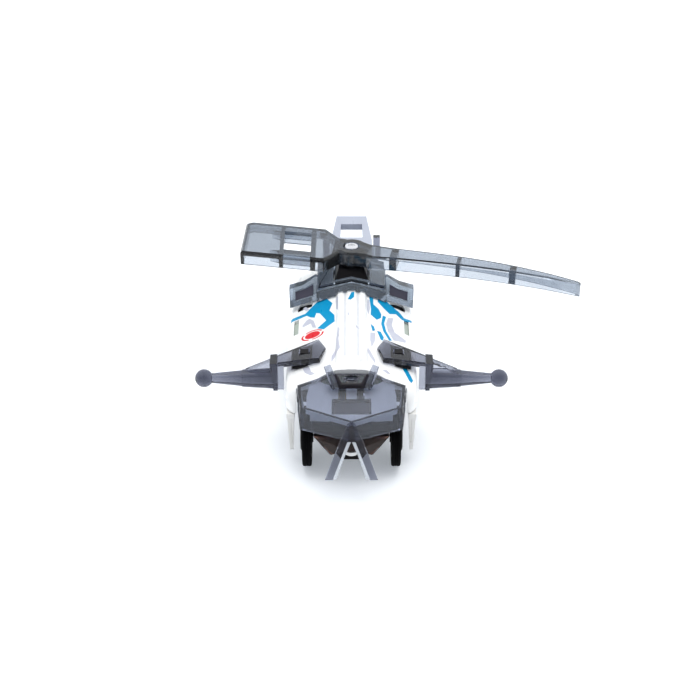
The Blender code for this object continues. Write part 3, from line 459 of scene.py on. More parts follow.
def board_material():
    """A green circuit board with paler tracks under its lacquer."""
    made, tree, shader, place = new_material("board_green")
    bricks = {"Vector": place, "Scale": 420.0, "Mortar Size": 0.06, "Color1": (0.02, 0.16, 0.06, 1)}
    bricks |= {"Color2": (0.025, 0.2, 0.08, 1), "Mortar": (0.07, 0.34, 0.13, 1)}
    tracks = linked(tree, "ShaderNodeTexBrick", bricks)
    tree.links.new(tracks.outputs["Color"], shader.inputs["Base Color"])
    tree.links.new(spread(tree, noise(tree, place, 1.0), 0.2, 0.4), shader.inputs["Roughness"])
    set_bump(tree, shader, tracks.outputs["Fac"], 0.02)
    return made


SMOKE_TINT = (0.30, 0.355, 0.42)
SMOKE_ROTOR = smoked("smoke_rotor", SMOKE_TINT, 900.0, (0.84, 0.87, 0.91), 0.98, bend=1.49)
SMOKE_ARM = smoked("smoke_arm", (0.31, 0.325, 0.41), 780.0, (0.70, 0.72, 0.79), 0.975)
SMOKE_MASK = smoked("smoke_mask", (0.31, 0.335, 0.42), 390.0, (0.72, 0.76, 0.86), 0.955)
SMOKE_FORK = smoked("smoke_fork", (0.30, 0.31, 0.41), 680.0, (0.70, 0.72, 0.80), 0.975)
# A paler, milkier copy of the fork's smoke for its inner bevels: a painted highlight.
SMOKE_LIT_BEVEL = smoked("smoke_painted_lit_bevel", (0.6, 0.63, 0.68), 200.0, (0.86, 0.90, 0.94), 0.45)
SMOKE_SADDLE = smoked("smoke_saddle", (0.30, 0.34, 0.42), 260.0, (0.64, 0.72, 0.80), 0.88, bend=1.49)
SMOKE_BAR = smoked("smoke_bar", (0.26, 0.20, 0.28), 2500.0, (0.30, 0.26, 0.32), 0.96)
CHIN_SMOKE = smoked("smoke_chin", (0.50, 0.28, 0.22), 1700.0, (0.36, 0.20, 0.15), 0.95, (0.05, 0.14))
LENS = smoked("lens_dark", (0.35, 0.10, 0.18), 1500.0, (0.5, 0.4, 0.45), 0.94)
WHITE = moulded("shell_white", (0.85, 0.855, 0.845), (0.82, 0.83, 0.825), (0.22, 0.34),
                Coat_Weight=0.15, Coat_Roughness=0.1)
CREAM = moulded("leg_cream", (0.86, 0.855, 0.82), (0.82, 0.815, 0.785), (0.28, 0.4))
PALE = moulded("tail_pale", (0.46, 0.49, 0.57), (0.42, 0.45, 0.53), (0.26, 0.38))
# Grey-green for the side slots' floors: painted shade of the recess.
SLOT_SHADE_GREY = moulded("slot_painted_shade", (0.42, 0.47, 0.42), (0.38, 0.43, 0.39), (0.4, 0.55))
BLACK = moulded("black_plastic_fine", (0.004, 0.0035, 0.004), (0.007, 0.006, 0.007), (0.3, 0.45), 0.18,
                Specular_IOR_Level=0.12)
# Dark plates for the saddle's pocket floors: painted shade in the recesses.
POCKET_SHADE_DARK = moulded("pocket_painted_shade", (0.075, 0.070, 0.098), (0.060, 0.056, 0.080), (0.12, 0.25), 0.2,
                Specular_IOR_Level=0.35)
MOUNT_DARK = moulded("mount_dark", (0.028, 0.025, 0.036), (0.020, 0.018, 0.027), (0.12, 0.25), 0.2,
                     Specular_IOR_Level=0.2)
RUBBER = moulded("tyre_rubber", (0.002, 0.002, 0.0022), (0.004, 0.004, 0.0044), (0.62, 0.82), 0.2, 0.02,
                 Specular_IOR_Level=0.04)
NYLON = moulded("gear_nylon", (0.80, 0.79, 0.73), (0.74, 0.72, 0.64), (0.4, 0.55))
INK_BLUE = moulded("ink_blue", (0.0, 0.235, 0.46), (0.0, 0.265, 0.50), (0.26, 0.38), 0.12, 0.003, 3.0,
                   Specular_IOR_Level=0.2)
INK_GREY = moulded("ink_grey", (0.44, 0.45, 0.54), (0.50, 0.52, 0.59), (0.26, 0.38), 0.12, 0.003, 3.0)
# Pale grey laid in the spine's grooves: painted shade, not ink.
GROOVE_SHADE_GREY = moulded("groove_painted_shade", (0.56, 0.58, 0.62), (0.62, 0.64, 0.67), (0.26, 0.38), 0.12, 0.003, 3.0)
INK_RED = moulded("ink_red", (0.62, 0.016, 0.026), (0.57, 0.012, 0.021), (0.26, 0.38), 0.12, 0.003, 3.0,
                  Specular_IOR_Level=0.2)
STEEL = metal("screw_steel", (0.80, 0.80, 0.82), (0.68, 0.68, 0.71), (0.16, 0.3))
BRASS = metal("contact_brass", (0.80, 0.60, 0.28), (0.68, 0.48, 0.2), (0.2, 0.35))
BOARD = board_material()


# --- carapace ---

# Stations along the body: y, half width, shoulder height, roof height at the middle, raise of the spine.
SHELL_STATIONS = [
    (-33.9, 14.9, 14.0, 15.4, 0.0),
    (-33.0, 15.9, 15.4, 17.0, 0.0),
    (-31.2, 16.7, 17.0, 18.8, 0.0),
    (-28.5, 17.0, 18.0, 20.6, 0.0),
    (-25.5, 17.0, 18.5, 21.6, 0.3),
    (-24.5, 17.0, 18.6, 21.9, 0.9),
    (-15.2, 17.0, 18.8, 23.0, 0.9),
    (-14.4, 17.0, 18.8, 23.0, 0.5),
    (-13.6, 17.0, 18.8, 23.1, 0.9),
    (-3.2, 16.9, 18.9, 23.5, 0.9),
    (-2.4, 16.9, 18.9, 23.5, 0.5),
    (-1.6, 16.8, 18.9, 23.5, 0.9),
    (8.0, 16.7, 18.8, 23.7, 0.9),
    (20.0, 16.4, 18.6, 23.4, 0.9),
    (27.0, 15.8, 18.2, 22.6, 0.8),
    (31.0, 14.6, 17.4, 21.2, 0.4),
    (34.0, 12.6, 16.2, 18.8, 0.1),
    (36.0, 10.0, 14.6, 16.2, 0.0),
]
STATION_PITCH = 1.5


def roof_height(x, edge, shoulder, roof):
    return shoulder + (roof - shoulder) * (1 - (abs(x) / edge) ** 1.7)


def shell_section(y, half_width, shoulder, roof, raise_by, out, rim_z):
    """One cross-section of the carapace, offset outwards by out, from the right rim over to the left."""
    w, zs, zc = half_width + out, shoulder + out, roof + out
    edge = w - SHELL_CORNER_R
    half = [(w, rim_z), (w, zs - SHELL_CORNER_R)]
    for k in range(1, 8):
        a = k * pi / 18
        half.append((edge + SHELL_CORNER_R * cos(a), zs - SHELL_CORNER_R + SHELL_CORNER_R * sin(a) * 0.9))
    for share in (0.93, 0.85, 0.76, 0.66, 0.55, 0.44, 0.32, 0.2, 0.08):
        x = SPINE_HALF_WIDTH + (edge - SPINE_HALF_WIDTH) * share
        half.append((x, roof_height(x, edge, zs, zc)))
    half.append((SPINE_HALF_WIDTH, roof_height(SPINE_HALF_WIDTH, edge, zs, zc)))
    groove = raise_by * 0.45
    ridges = ((3.9, 0.72), (3.6, 1.0), (2.5, 1.0), (2.2, 0.72))
    for x, share in ridges:
        half.append((x, roof_height(x, edge, zs, zc) + raise_by * share))
    floor = raise_by - groove
    for x, lift in ((2.0, floor), (1.5, floor), (1.25, raise_by * 0.8), (1.0, raise_by)):
        half.append((x, roof_height(x, edge, zs, zc) + lift))
    return [(x, y, z) for x, z in half + [(-x, z) for x, z in reversed(half)]]


def fine_stations():
    """The stations with others between them on a smooth curve."""
    rows = []
    last = len(SHELL_STATIONS) - 1
    for i in range(last):
        before, one = SHELL_STATIONS[max(i - 1, 0)], SHELL_STATIONS[i]
        two, after = SHELL_STATIONS[i + 1], SHELL_STATIONS[min(i + 2, last)]
        length = two[0] - one[0]
        count = max(1, round(length / STATION_PITCH))
        for k in range(count):
            t = k / count
            row = [one[0] + length * t]
            for c in (1, 2, 3):
                lean_one = (two[c] - before[c]) / max(two[0] - before[0], 0.01) * length
                lean_two = (after[c] - one[c]) / max(after[0] - one[0], 0.01) * length
                rise = two[c] - one[c]
                bend = t * (1 - t) * ((lean_one - rise) * (1 - t) - (lean_two - rise) * t)
                row.append(one[c] + rise * t + bend)
            row.append(one[4] + (two[4] - one[4]) * t)
            rows.append(row)
    return rows + [list(SHELL_STATIONS[last])]


def shell_body(out=0.0, rim_z=RIM_Z, ends=0.0):
    """The carapace as a filled body, offset outwards by out, and lengthened by ends at nose and tail."""
    rings = []
    stations = fine_stations()
    for i, (y, w, zs, zc, lift) in enumerate(stations):
        shift = -ends if i == 0 else ends if i == len(stations) - 1 else 0.0
        rings.append(shell_section(y + shift, w, zs, zc, lift if out >= -0.9 else 0.0, out, rim_z))
    return loft(rings)


def visor_z(y):
    return VISOR_BACK_Z + VISOR_SLOPE * (y - VISOR_BACK_Y)


def visor_plan(grow):
    """The visor's outline in plan, right side then left, starting at the middle of its back edge."""
    right = [
        (0.0, VISOR_BACK_Y + grow),
        (5.0, VISOR_BACK_Y + grow),
        (MASK_HALF_WIDTH + grow, CHEEK_Y + grow * 0.6),
        (BAND_HALF_WIDTH + grow, BAND_SIDE_Y),
        (0.0, BAND_NOSE_Y - grow),
    ]
    return right + mirrored(right[3:0:-1])


HOOK_SLOT = [(10.9, 4.95), (14.7, 4.95), (14.9, 6.0), (14.2, 8.4), (12.2, 8.0), (10.5, 6.9)]


def seat_z(y):
    """The height of the carapace's flat seat under the visor."""
    return visor_z(y) - VISOR_THICK - VISOR_SEAT


def mount_room():
    """The window and the two slots in the seat that clear the mask's mount."""
    room = MOUNT_HALF_WIDTH + GAP
    shapes = [box((-room, MOUNT_FRONT_Y - GAP, 9.0), (room, MOUNT_BAR_Y + GAP, 19.0))]
    for side in (1, -1):
        inner, outer = MOUNT_LEG_X - MOUNT_LEG_HALF - GAP, MOUNT_LEG_X + MOUNT_LEG_HALF + GAP
        shapes.append(sided_box(side, inner, outer, MOUNT_BACK_Y, MOUNT_LEG_Y + GAP, 14.0, 19.0))
    return shapes


def make_carapace():
    """The white shell, with a sunk seat for the visor, screw bosses, and slots for clip-on pieces."""
    plan = visor_plan(0.35)
    recess = loft([
        [(x, y, seat_z(y)) for x, y in plan],
        [(x, y, 40.0) for x, y in plan],
    ])
    ledge_right = [(0.0, -42.4), (11.4, -38.0), (11.4, -34.0), (10.9, -31.0)]
    ledge_plan = ledge_right + mirrored(ledge_right[:0:-1])
    ledge = loft([
        [(x, y, seat_z(y) - SHELL_WALL) for x, y in ledge_plan],
        [(x, y, seat_z(y) - 0.005) for x, y in ledge_plan],
    ])
    lips = []
    for side in (1, -1):
        face = [(10.3, -38.5), (5.4, -40.36), (5.4, -39.2), (10.3, -37.3)]
        lips.append(loft([
            [(side * x, y, 13.0 + 0.2 * (10.3 - x)) for x, y in face],
            [(side * x, y, seat_z(y) - 0.6) for x, y in face],
        ]))
    cuts = [recess]
    for side in (1, -1):
        cuts.append(sided_box(side, 14.3, 15.6, -7.0, 0.6, 16.0, 24.0))
        cuts.append(sided_box(side, 11.0, 14.2, -40.0, -30.6, 9.0, 18.0))
        cuts.append(sided_box(side, 10.2, 15.6, -23.6, -16.0, 13.5, 26.0))
        cuts.append(prism([(side * x, y) for x, y in HOOK_SLOT], "z", 17.5, 26.0))
    cuts.append(box((-5.0, POST_ROOM_Y, 18.0), (5.0, 22.6, 30.0)))
    cuts.append(cylinder("z", (0, LENS_Y), 1.3, 10.0, 24.0, 32))
    bosses = [cylinder("z", place, BOSS_R, RIM_Z, 18.6, 24) for place in BOSS_PLACES]
    cuts += [cylinder("z", place, BOSS_BORE_R, 10.0, 16.0, 16) for place in BOSS_PLACES]
    steps = [("DIFFERENCE", shell_body(-SHELL_WALL, RIM_Z - 3.0, -SHELL_WALL))]
    steps += [("UNION", boss) for boss in bosses] + [("DIFFERENCE", cut) for cut in cuts]
    shell = combine(shell_body(), steps)
    piece("carapace", "chassis", WHITE, shell, [ledge, *lips], mount_room(),
          SOFT_EDGE, ["top_shell"])


def skin_patch(name, material, outlines, low, high):
    """Plan outlines laid on the carapace as a thin skin between two offsets from its surface."""
    columns = joined([prism(outline, "z", 14.0, 30.0) for outline in outlines])
    mesh = combine(columns, [("INTERSECT", shell_body(high)), ("DIFFERENCE", shell_body(low))])
    return piece(name, "chassis", material, cleaned(mesh), edge=0)


# Printed strokes as plan outlines on the carapace, and grey strokes in the spine's grooves that are painted
# shade.
BLUE_STROKES = [
    [(-16.6, 2.6), (-12.6, 2.4), (-9.4, 6.6), (-9.0, 9.0), (-7.2, 9.0), (-6.6, 6.2), (-5.2, 3.4),
     (-6.0, 0.0), (-4.6, -3.0), (-4.5, -6.2), (-7.4, -9.0), (-9.2, -7.6), (-6.8, -4.8), (-8.6, -0.2),
     (-9.6, 0.6), (-10.0, -1.6), (-11.2, -0.6), (-12.2, 1.0), (-16.6, 0.9)],
    [(4.7, 9.0), (6.0, 9.0), (6.0, 3.2), (7.4, 1.4), (8.1, -1.0), (8.0, -3.0), (6.8, -4.5), (5.2, -2.6),
     (5.3, 0.6)],
    [(5.1, -7.2), (6.0, -8.2), (6.3, -10.0), (5.6, -10.6)],
    [(6.8, -10.0), (7.8, -10.0), (8.6, -12.4), (8.3, -14.0), (7.7, -13.8)],
    [(7.4, 9.0), (8.9, 9.0), (10.0, 6.4), (13.2, 3.4), (14.4, 1.4), (16.6, 1.8), (16.4, 0.6), (13.8, 0.0),
     (12.2, 1.8), (10.4, 0.6), (9.0, 2.4), (7.2, 5.2)],
    [(8.5, -1.4), (9.4, -1.6), (8.8, -5.4), (9.3, -9.0), (10.7, -12.8), (10.0, -13.2), (8.5, -9.4),
     (8.0, -6.0)],
    [(13.0, -23.6), (14.2, -23.4), (15.9, -27.8), (15.4, -28.8), (14.8, -28.2)],
    [(-1.0, 2.8), (0.0, 6.6), (0.8, 6.6), (0.7, 4.0), (-0.2, 2.6)],
]
GREY_STROKES = [
    [(-13.4, 5.8), (-12.4, 3.6), (-11.6, 3.8), (-12.6, 6.2)],
    [(-12.2, -1.6), (-11.4, -1.2), (-10.2, -3.2), (-9.4, -7.2), (-10.5, -6.4), (-11.0, -4.0), (-13.2, -4.6),
     (-13.3, -3.6)],
    [(-4.3, 5.4), (-3.7, 5.4), (-3.5, -2.4), (-4.2, -0.4)],
    [(-3.6, -10.4), (-3.1, -11.4), (-3.4, -16.0), (-3.0, -20.0), (-4.0, -22.0), (-5.2, -24.4),
     (-5.2, -22.0), (-4.1, -19.4), (-4.0, -15.6)],
    [(9.9, -1.8), (11.4, -1.0), (10.9, -5.0), (11.6, -8.2), (14.6, -10.2), (14.4, -11.4), (11.2, -12.4),
     (9.8, -8.8), (9.3, -5.4)],
    [(4.4, 5.4), (4.9, 5.0), (5.0, 0.4), (4.6, -3.0), (4.2, 0.0)],
    [(4.4, -18.6), (5.0, -20.0), (6.1, -23.0), (6.2, -24.8), (4.8, -22.2), (4.1, -20.0)],
    [(5.0, -11.4), (6.4, -11.2), (6.2, -15.0), (5.3, -18.0), (4.9, -15.0)],
    [(-12.6, -24.6), (-11.0, -24.4), (-10.4, -26.4), (-9.4, -27.4), (-10.6, -27.6), (-12.0, -26.4)],
    [(7.8, -26.4), (9.0, -26.2), (10.2, -27.4), (9.2, -27.4)],
    [(-0.9, -3.4), (-0.5, -5.2), (-1.0, -5.4)],
    [(1.0, -9.6), (1.2, -11.0), (2.2, -11.4), (1.6, -10.2)],
]
# Grey strokes along the floors of the spine's two grooves: painted shade.
SPINE_GROOVE_SHADE = [[(x0, 7.5), (x1, 7.5), (x1, -23.0), (x0, -23.0)] for x0, x1 in ((-2.0, -1.5), (1.5, 2.0))]
BADGE_AT, BADGE_R, BADGE_FLAT = (-10.4, -10.2), 3.0, 0.76


def badge_arc(radius, angles):
    """Points on the badge's ring, which is flattened along the robot."""
    return [(BADGE_AT[0] + radius * cos(a), BADGE_AT[1] + radius * BADGE_FLAT * sin(a)) for a in angles]


def make_print():
    """The printed pattern and badge, painted shade along the spine's grooves, and the floors of the slots in
    the carapace, the side slots' floors grey-green as painted shade.
    """
    skin_patch("print_blue", INK_BLUE, BLUE_STROKES, -0.2, 0.03)
    skin_patch("print_grey", INK_GREY, GREY_STROKES, -0.2, 0.022)
    # Painted shade in the spine's grooves.
    skin_patch("spine_groove_painted_shade", GROOVE_SHADE_GREY, SPINE_GROOVE_SHADE, -0.2, 0.02)
    marks = []
    for third in range(3):
        angles = [0.5 + 2 * pi / 3 * (third + 0.84 * j / 12) for j in range(13)]
        marks.append(badge_arc(BADGE_R, angles) + badge_arc(BADGE_R - 0.5, angles)[::-1])
    marks.append(badge_arc(BADGE_R * 0.68, [2 * pi * k / 32 for k in range(32)]))
    skin_patch("print_red_badge", INK_RED, marks, -0.2, 0.03)
    slots = [[(side * x, y) for x, y in inset(HOOK_SLOT, -0.2)] for side in (1, -1)]
    skin_patch("hook_slot_floor", BLACK, slots, -0.95, -0.45)
    # The side slots get a grey-green floor; its darkness is painted shade of the recess.
    vent = [(14.1, -7.2), (15.8, -7.2), (15.8, 0.8), (14.1, 0.8)]
    vents = [[(side * x, y) for x, y in vent] for side in (1, -1)]
    skin_patch("side_slot_painted_shade_floor", SLOT_SHADE_GREY, vents, -1.1, -0.6)


def make_legs():
    """A rail on each side with three tapered legs, each with a groove down its front."""
    for side, word in ((-1, "left"), (1, "right")):
        x0, x1 = sorted((side * RAIL_INNER_X, side * RAIL_OUTER_X))
        rail = box((x0, -34.0, 10.3), (x1, 26.0, RIM_Z - GAP))
        legs, grooves = [], []
        mid = side * LEG_X
        for y in LEG_PLACES_Y:
            f0, f1 = mid - 0.45, mid + 0.45
            foot = [(f0, y - 0.1), (f1, y - 0.1), (f1, y + 1.0), (f0, y + 1.0)]
            top = [(x0 + 0.1, y - 2.0), (x1 - 0.1, y - 2.0), (x1 - 0.1, y + 1.8), (x0 + 0.1, y + 1.8)]
            legs.append(loft([[(x, yy, LEG_TIP_Z) for x, yy in foot], [(x, yy, 11.0) for x, yy in top]]))
            upper, lower = (mid - side * 0.35, y - 2.05, 9.6), (mid - side * 0.12, y - 0.45, 1.6)
            grooves.append(bar(upper, lower, (0.42, 0.7), (0.2, 0.5), (0, 1, 0)))
        piece(f"legs_{word}", "chassis", CREAM, rail, legs, grooves,
              stands_for=[f"leg_rail_{word}"])


# --- front ---


def make_mask():
    """A bent plate: sloping visor, V-shaped front band and two cheeks, with a horned yoke on top."""
    nose = (0.0, BAND_NOSE_Y, visor_z(BAND_NOSE_Y))
    nose_low = (0.0, BAND_NOSE_Y - 0.4, BAND_LOW_Z)
    right = [
        (5.0, VISOR_BACK_Y, VISOR_BACK_Z),
        (MASK_HALF_WIDTH, CHEEK_Y, visor_z(CHEEK_Y)),
        (BAND_HALF_WIDTH, BAND_SIDE_Y, visor_z(BAND_SIDE_Y)),
        (BAND_HALF_WIDTH + 0.2, BAND_SIDE_Y, BAND_LOW_Z),
        (MASK_HALF_WIDTH, -33.6, 12.9),
    ]
    points = [nose, nose_low, *right, *mirrored(right)]
    faces = [(2, 3, 4, 0, 9, 8, 7), (0, 4, 5, 1), (9, 0, 1, 10), (3, 6, 5, 4), (11, 8, 9, 10)]
    plate = bpy.data.objects.new("plate", mesh_from(points, faces))
    bpy.context.scene.collection.objects.link(plate)
    thick = plate.modifiers.new("thick", "SOLIDIFY")
    thick.thickness = VISOR_THICK * MM
    thick.offset = -1.0
    thick.use_even_offset = True
    bpy.context.view_layer.update()
    made = bpy.data.meshes.new_from_object(plate.evaluated_get(bpy.context.evaluated_depsgraph_get()))
    bpy.data.objects.remove(plate)
    hole = [(x, LENS_Y + y * LENS_SQUASH) for x, y in round_outline((0, 0), LENS_R, 40)]
    collar = [(x * 1.16, LENS_Y + y * 0.56) for x, y in round_outline((0, 0), LENS_R, 40)]
    levels = ((-0.4, collar), (0.22, inset(collar, 0.15)))
    rim = loft([[(x, y, visor_z(y) + rise) for x, y in outline] for rise, outline in levels])
    horns = []
    for side in (1, -1):
        start, end = (side * 3.9, -32.6, 18.6), (side * 6.25, -29.3, 23.5)
        horns.append(bar(start, end, (2.2, 1.9), (1.7, 1.5), chamfer=0.4))
    lens_hole = prism(hole, "z", 15.0, 24.0)
    piece("mask_plate", "face_mask", SMOKE_MASK, made, [rim, *horns], [lens_hole],
          stands_for=["mask_visor"])
    crossbar = box((-3.3, -33.0, visor_z(-33.0) + 0.03), (3.3, -31.8, 20.1), 0.15)
    arms = []
    for side in (1, -1):
        start, end = (side * 2.75, -32.6, 19.2), (side * 4.2, -30.8, 21.9)
        arms.append(bar(start, end, (0.9, 1.3), (0.6, 1.0), chamfer=0.15))
    piece("mask_yoke_bar", "face_mask", SMOKE_BAR, crossbar, arms, edge=0.06)


def make_mount_plate():
    """A dark smoked plate on top of the mask's mount, in front of its crossbar."""
    half = MOUNT_HALF_WIDTH - 0.05
    front, back = MOUNT_FRONT_Y + 0.05, MOUNT_BACK_Y - 0.15
    corners = [(-half, front), (half, front), (half, back), (-half, back)]
    levels = [[(x, y, visor_z(y) - VISOR_THICK - drop) for x, y in corners] for drop in (0.95, 0.55)]
    piece("mount_plate", "chassis", MOUNT_DARK, loft(levels), edge=0.05)


def fork_point(x, z, depth):
    """A point of the fork from its place across, its height, and its distance before the sloping plane."""
    y = FORK_TOP_Y - (FORK_TOP_Z - z) * FORK_LEAN
    return tuple(Vector((x, y, z)) + Vector((0, -1, FORK_LEAN)).normalized() * depth)


def fork_loft(side, rows):
    """A body through sections of the fork, each with its height and its (place across, depth) points."""
    return loft([[fork_point(side * x, z, depth) for x, depth in section] for z, section in rows])


# Along a prong: height, then how far its outer edge, its ridge and its inner edge lie from the middle.
PRONG_STATIONS = [
    (16.6, 0.9, 0.05, 0.03),
    (12.4, 3.0, 1.05, 0.12),
    (8.4, 4.8, 2.85, 2.05),
    (4.15, 6.6, 4.7, 3.75),
]


def make_fork():
    """Two flat prongs with a bevel along each inner edge, painted paler than the prongs as a highlight, and a
    web between their tops.
    """
    back = -FORK_THICK
    body, bevel = [], []
    for z, outer, ridge, inner in PRONG_STATIONS:
        body.append((z, [(outer, back), (outer, -0.25), (outer - 0.2, 0.0), (ridge, 0.05), (ridge, back)]))
        bevel.append((z, [(ridge - 0.02, back), (ridge - 0.02, 0.0), (inner, -0.75), (inner, back)]))
    prongs = [fork_loft(side, body) for side in (1, -1)]
    bevels = [fork_loft(side, bevel[1:]) for side in (1, -1)]
    stem = prism([(-45.2, 16.35), (-43.95, 16.05), (-44.2, 12.4), (-46.7, 12.4)], "x", -0.5, 0.5)
    piece("mask_fork", "face_mask", SMOKE_FORK, stem, prongs, edge=0.06,
          stands_for=["mandible_fork"])
    # The inner bevels in a paler smoke: painted highlight.
    piece("fork_painted_lit_bevels", "face_mask", SMOKE_LIT_BEVEL, joined(bevels), edge=0.05)
    web = []
    for z, half in ((16.0, 0.25), (14.2, 0.85), (12.5, 0.95)):
        web.append((z, [(-half, -0.95), (0.0, -0.45), (half, -0.95), (0.0, -1.1)]))
    piece("fork_web", "face_mask", SMOKE_BAR, fork_loft(1, web), edge=0.04)


# --- weapons ---


def pad_z(x):
    share = (abs(x) - PAD_INNER_X) / (FLANGE_X - PAD_INNER_X)
    return PAD_INNER_Z + (PAD_OUTER_Z - PAD_INNER_Z) * share


def make_arm(side, word):
    """A clip-on side weapon: pad, side plate, flange, fin, two-stage spike and ball."""
    plan = [(PAD_INNER_X, -19.2), (8.2, -24.2), (FLANGE_X, -24.2), (FLANGE_X, -20.0), (8.6, -14.4)]
    levels = [(-PAD_THICK, 0.0), (-0.3, 0.0), (0.0, 0.3)]
    pad = loft([[(side * x, y, pad_z(x) + z) for x, y in inset(plan, by)] for z, by in levels])
    flange = [
        (FLANGE_X, FLANGE_LOW_Z), (FLANGE_LOW_X, FLANGE_LOW_Z), (FLANGE_TOP_X, PAD_OUTER_Z - 1.4),
        (FLANGE_TOP_X, PAD_OUTER_Z - 0.2), (FLANGE_X, PAD_OUTER_Z - 0.02),
    ]
    fin = [(20.3, 16.0), (20.3, 20.4), (27.5, 17.1), (27.5, 16.0)]

    def on_axis(x):
        return (side * x, SPIKE_Y, SPIKE_Z)

    add = [
        sided_box(side, 17.6, FLANGE_X + 0.2, -24.1, -23.2, FLANGE_LOW_Z + 0.1, PAD_OUTER_Z - 0.3),
        prism([(side * x, z) for x, z in flange], "y", -24.6, -19.7, 0.15, 0.0),
        bar(on_axis(20.0), on_axis(SPIKE_STEP_X), (4.4, 4.4), (3.7, 3.7), chamfer=0.5),
        bar(on_axis(SPIKE_STEP_X - 0.3), on_axis(BALL_X - 1.2), (3.4, 3.4), (2.1, 2.1), chamfer=0.4),
        sphere(on_axis(BALL_X), BALL_R),
        prism([(side * x, z) for x, z in fin], "y", -21.45, -21.05),
        bar((side * 20.3, -21.25, 20.3), (side * 27.6, -21.25, 16.95), (1.0, 0.6), (1.0, 0.6)),
    ]
    hole = PEG_HALF + GAP
    peg_hole = sided_box(side, PEG_X - hole, PEG_X + hole, PEG_Y - hole, PEG_Y + hole, 15.0, 26.0)
    seated = combine(pad, [("DIFFERENCE", shell_body(GAP)), ("DIFFERENCE", peg_hole)])
    piece(f"{word}_spike_arm", f"{word}_weapon", SMOKE_ARM, seated, add,
          stands_for=[f"arm_{word}"])


def make_saddle():
    """Armour over the carapace: a ridged middle between two raised pods, cut to sit on the shell. Dark plates
    on the pocket floors and a black strip in the front groove are painted shade.
    """

    def front_y(z):
        return 5.0 + 0.42 * (z - 17.5)

    middle_outline = [(-9.6, 18.0), (9.6, 18.0), (9.6, 24.5), (0.0, 26.9), (-9.6, 24.5)]
    ridge_front = [(x, front_y(z) - 1.2, z) for x, z in middle_outline]
    ridge = loft([ridge_front, [(x, 24.5, z) for x, z in middle_outline]])
    pocket = [(10.5, 22.9), (15.4, 21.4), (15.6, 23.9), (12.6, 24.8), (10.5, 25.9)]
    pods, pockets, pocket_shade_plates = [], [], []
    for side in (1, -1):
        outline = [(9.2, 22.0), (17.0, 19.7), (17.2, 24.6), (13.2, 25.8), (9.9, 27.9), (9.2, 27.7)]
        front = [(side * x, front_y(z), z) for x, z in outline]
        pods.append(loft([front, [(side * x, POD_REAR_Y, z) for x, z in outline]]))
        pockets.append(loft([[(side * x, front_y(z) + y, z) for x, z in pocket] for y in (-3.0, 0.9)]))
        panel = inset(pocket, 0.05)
        pocket_shade_plates.append(loft([[(side * x, front_y(z) + y, z) for x, z in panel] for y in (0.55, 0.87)]))
    channel = [(-9.1, 23.5), (0.0, 25.75), (9.1, 23.5), (9.1, 30.0), (0.0, 32.0), (-9.1, 30.0)]
    groove_shade_strip = [(-8.9, 23.55), (0.0, 25.8), (8.9, 23.55), (8.9, 24.1), (0.0, 26.3), (-8.9, 24.1)]
    post_room = box((-5.0, POST_ROOM_Y, 16.0), (5.0, 22.6, 30.0))
    cuts = [shell_body(GAP), post_room, prism(channel, "y", 8.4, 10.0), *pockets]
    saddle = combine(ridge, [("UNION", pod) for pod in pods])
    piece("saddle", "chassis", SMOKE_SADDLE, saddle, cut=cuts, stands_for=["saddle_armour"])
    # Painted shade: dark plates on the pocket floors and a black strip along the front groove.
    piece("saddle_pocket_painted_shade", "chassis", POCKET_SHADE_DARK, joined(pocket_shade_plates), edge=0)
    piece("saddle_groove_painted_shade", "chassis", BLACK, prism(groove_shade_strip, "y", 8.45, 9.95), edge=0)


def sabre_line(x):
    """The middle and half width of the sabre at a place along it, in the rotor's own plan."""
    t = max(0.0, (x - 12.0) / 52.0)
    return -1.6 - 0.6 * t - 6.2 * t**2.6, 3.2 - 1.3 * t - 1.1 * t**3


def sabre_strip(start, end, inwards, steps):
    """The part of the sabre between two places, narrowed at each edge."""
    front, back = [], []
    for k in range(steps + 1):
        x = start + (end - start) * k / steps
        centre, half = sabre_line(x)
        front.append((x, centre - half + inwards))
        back.append((x, centre + half - inwards))
    return front + back[::-1]


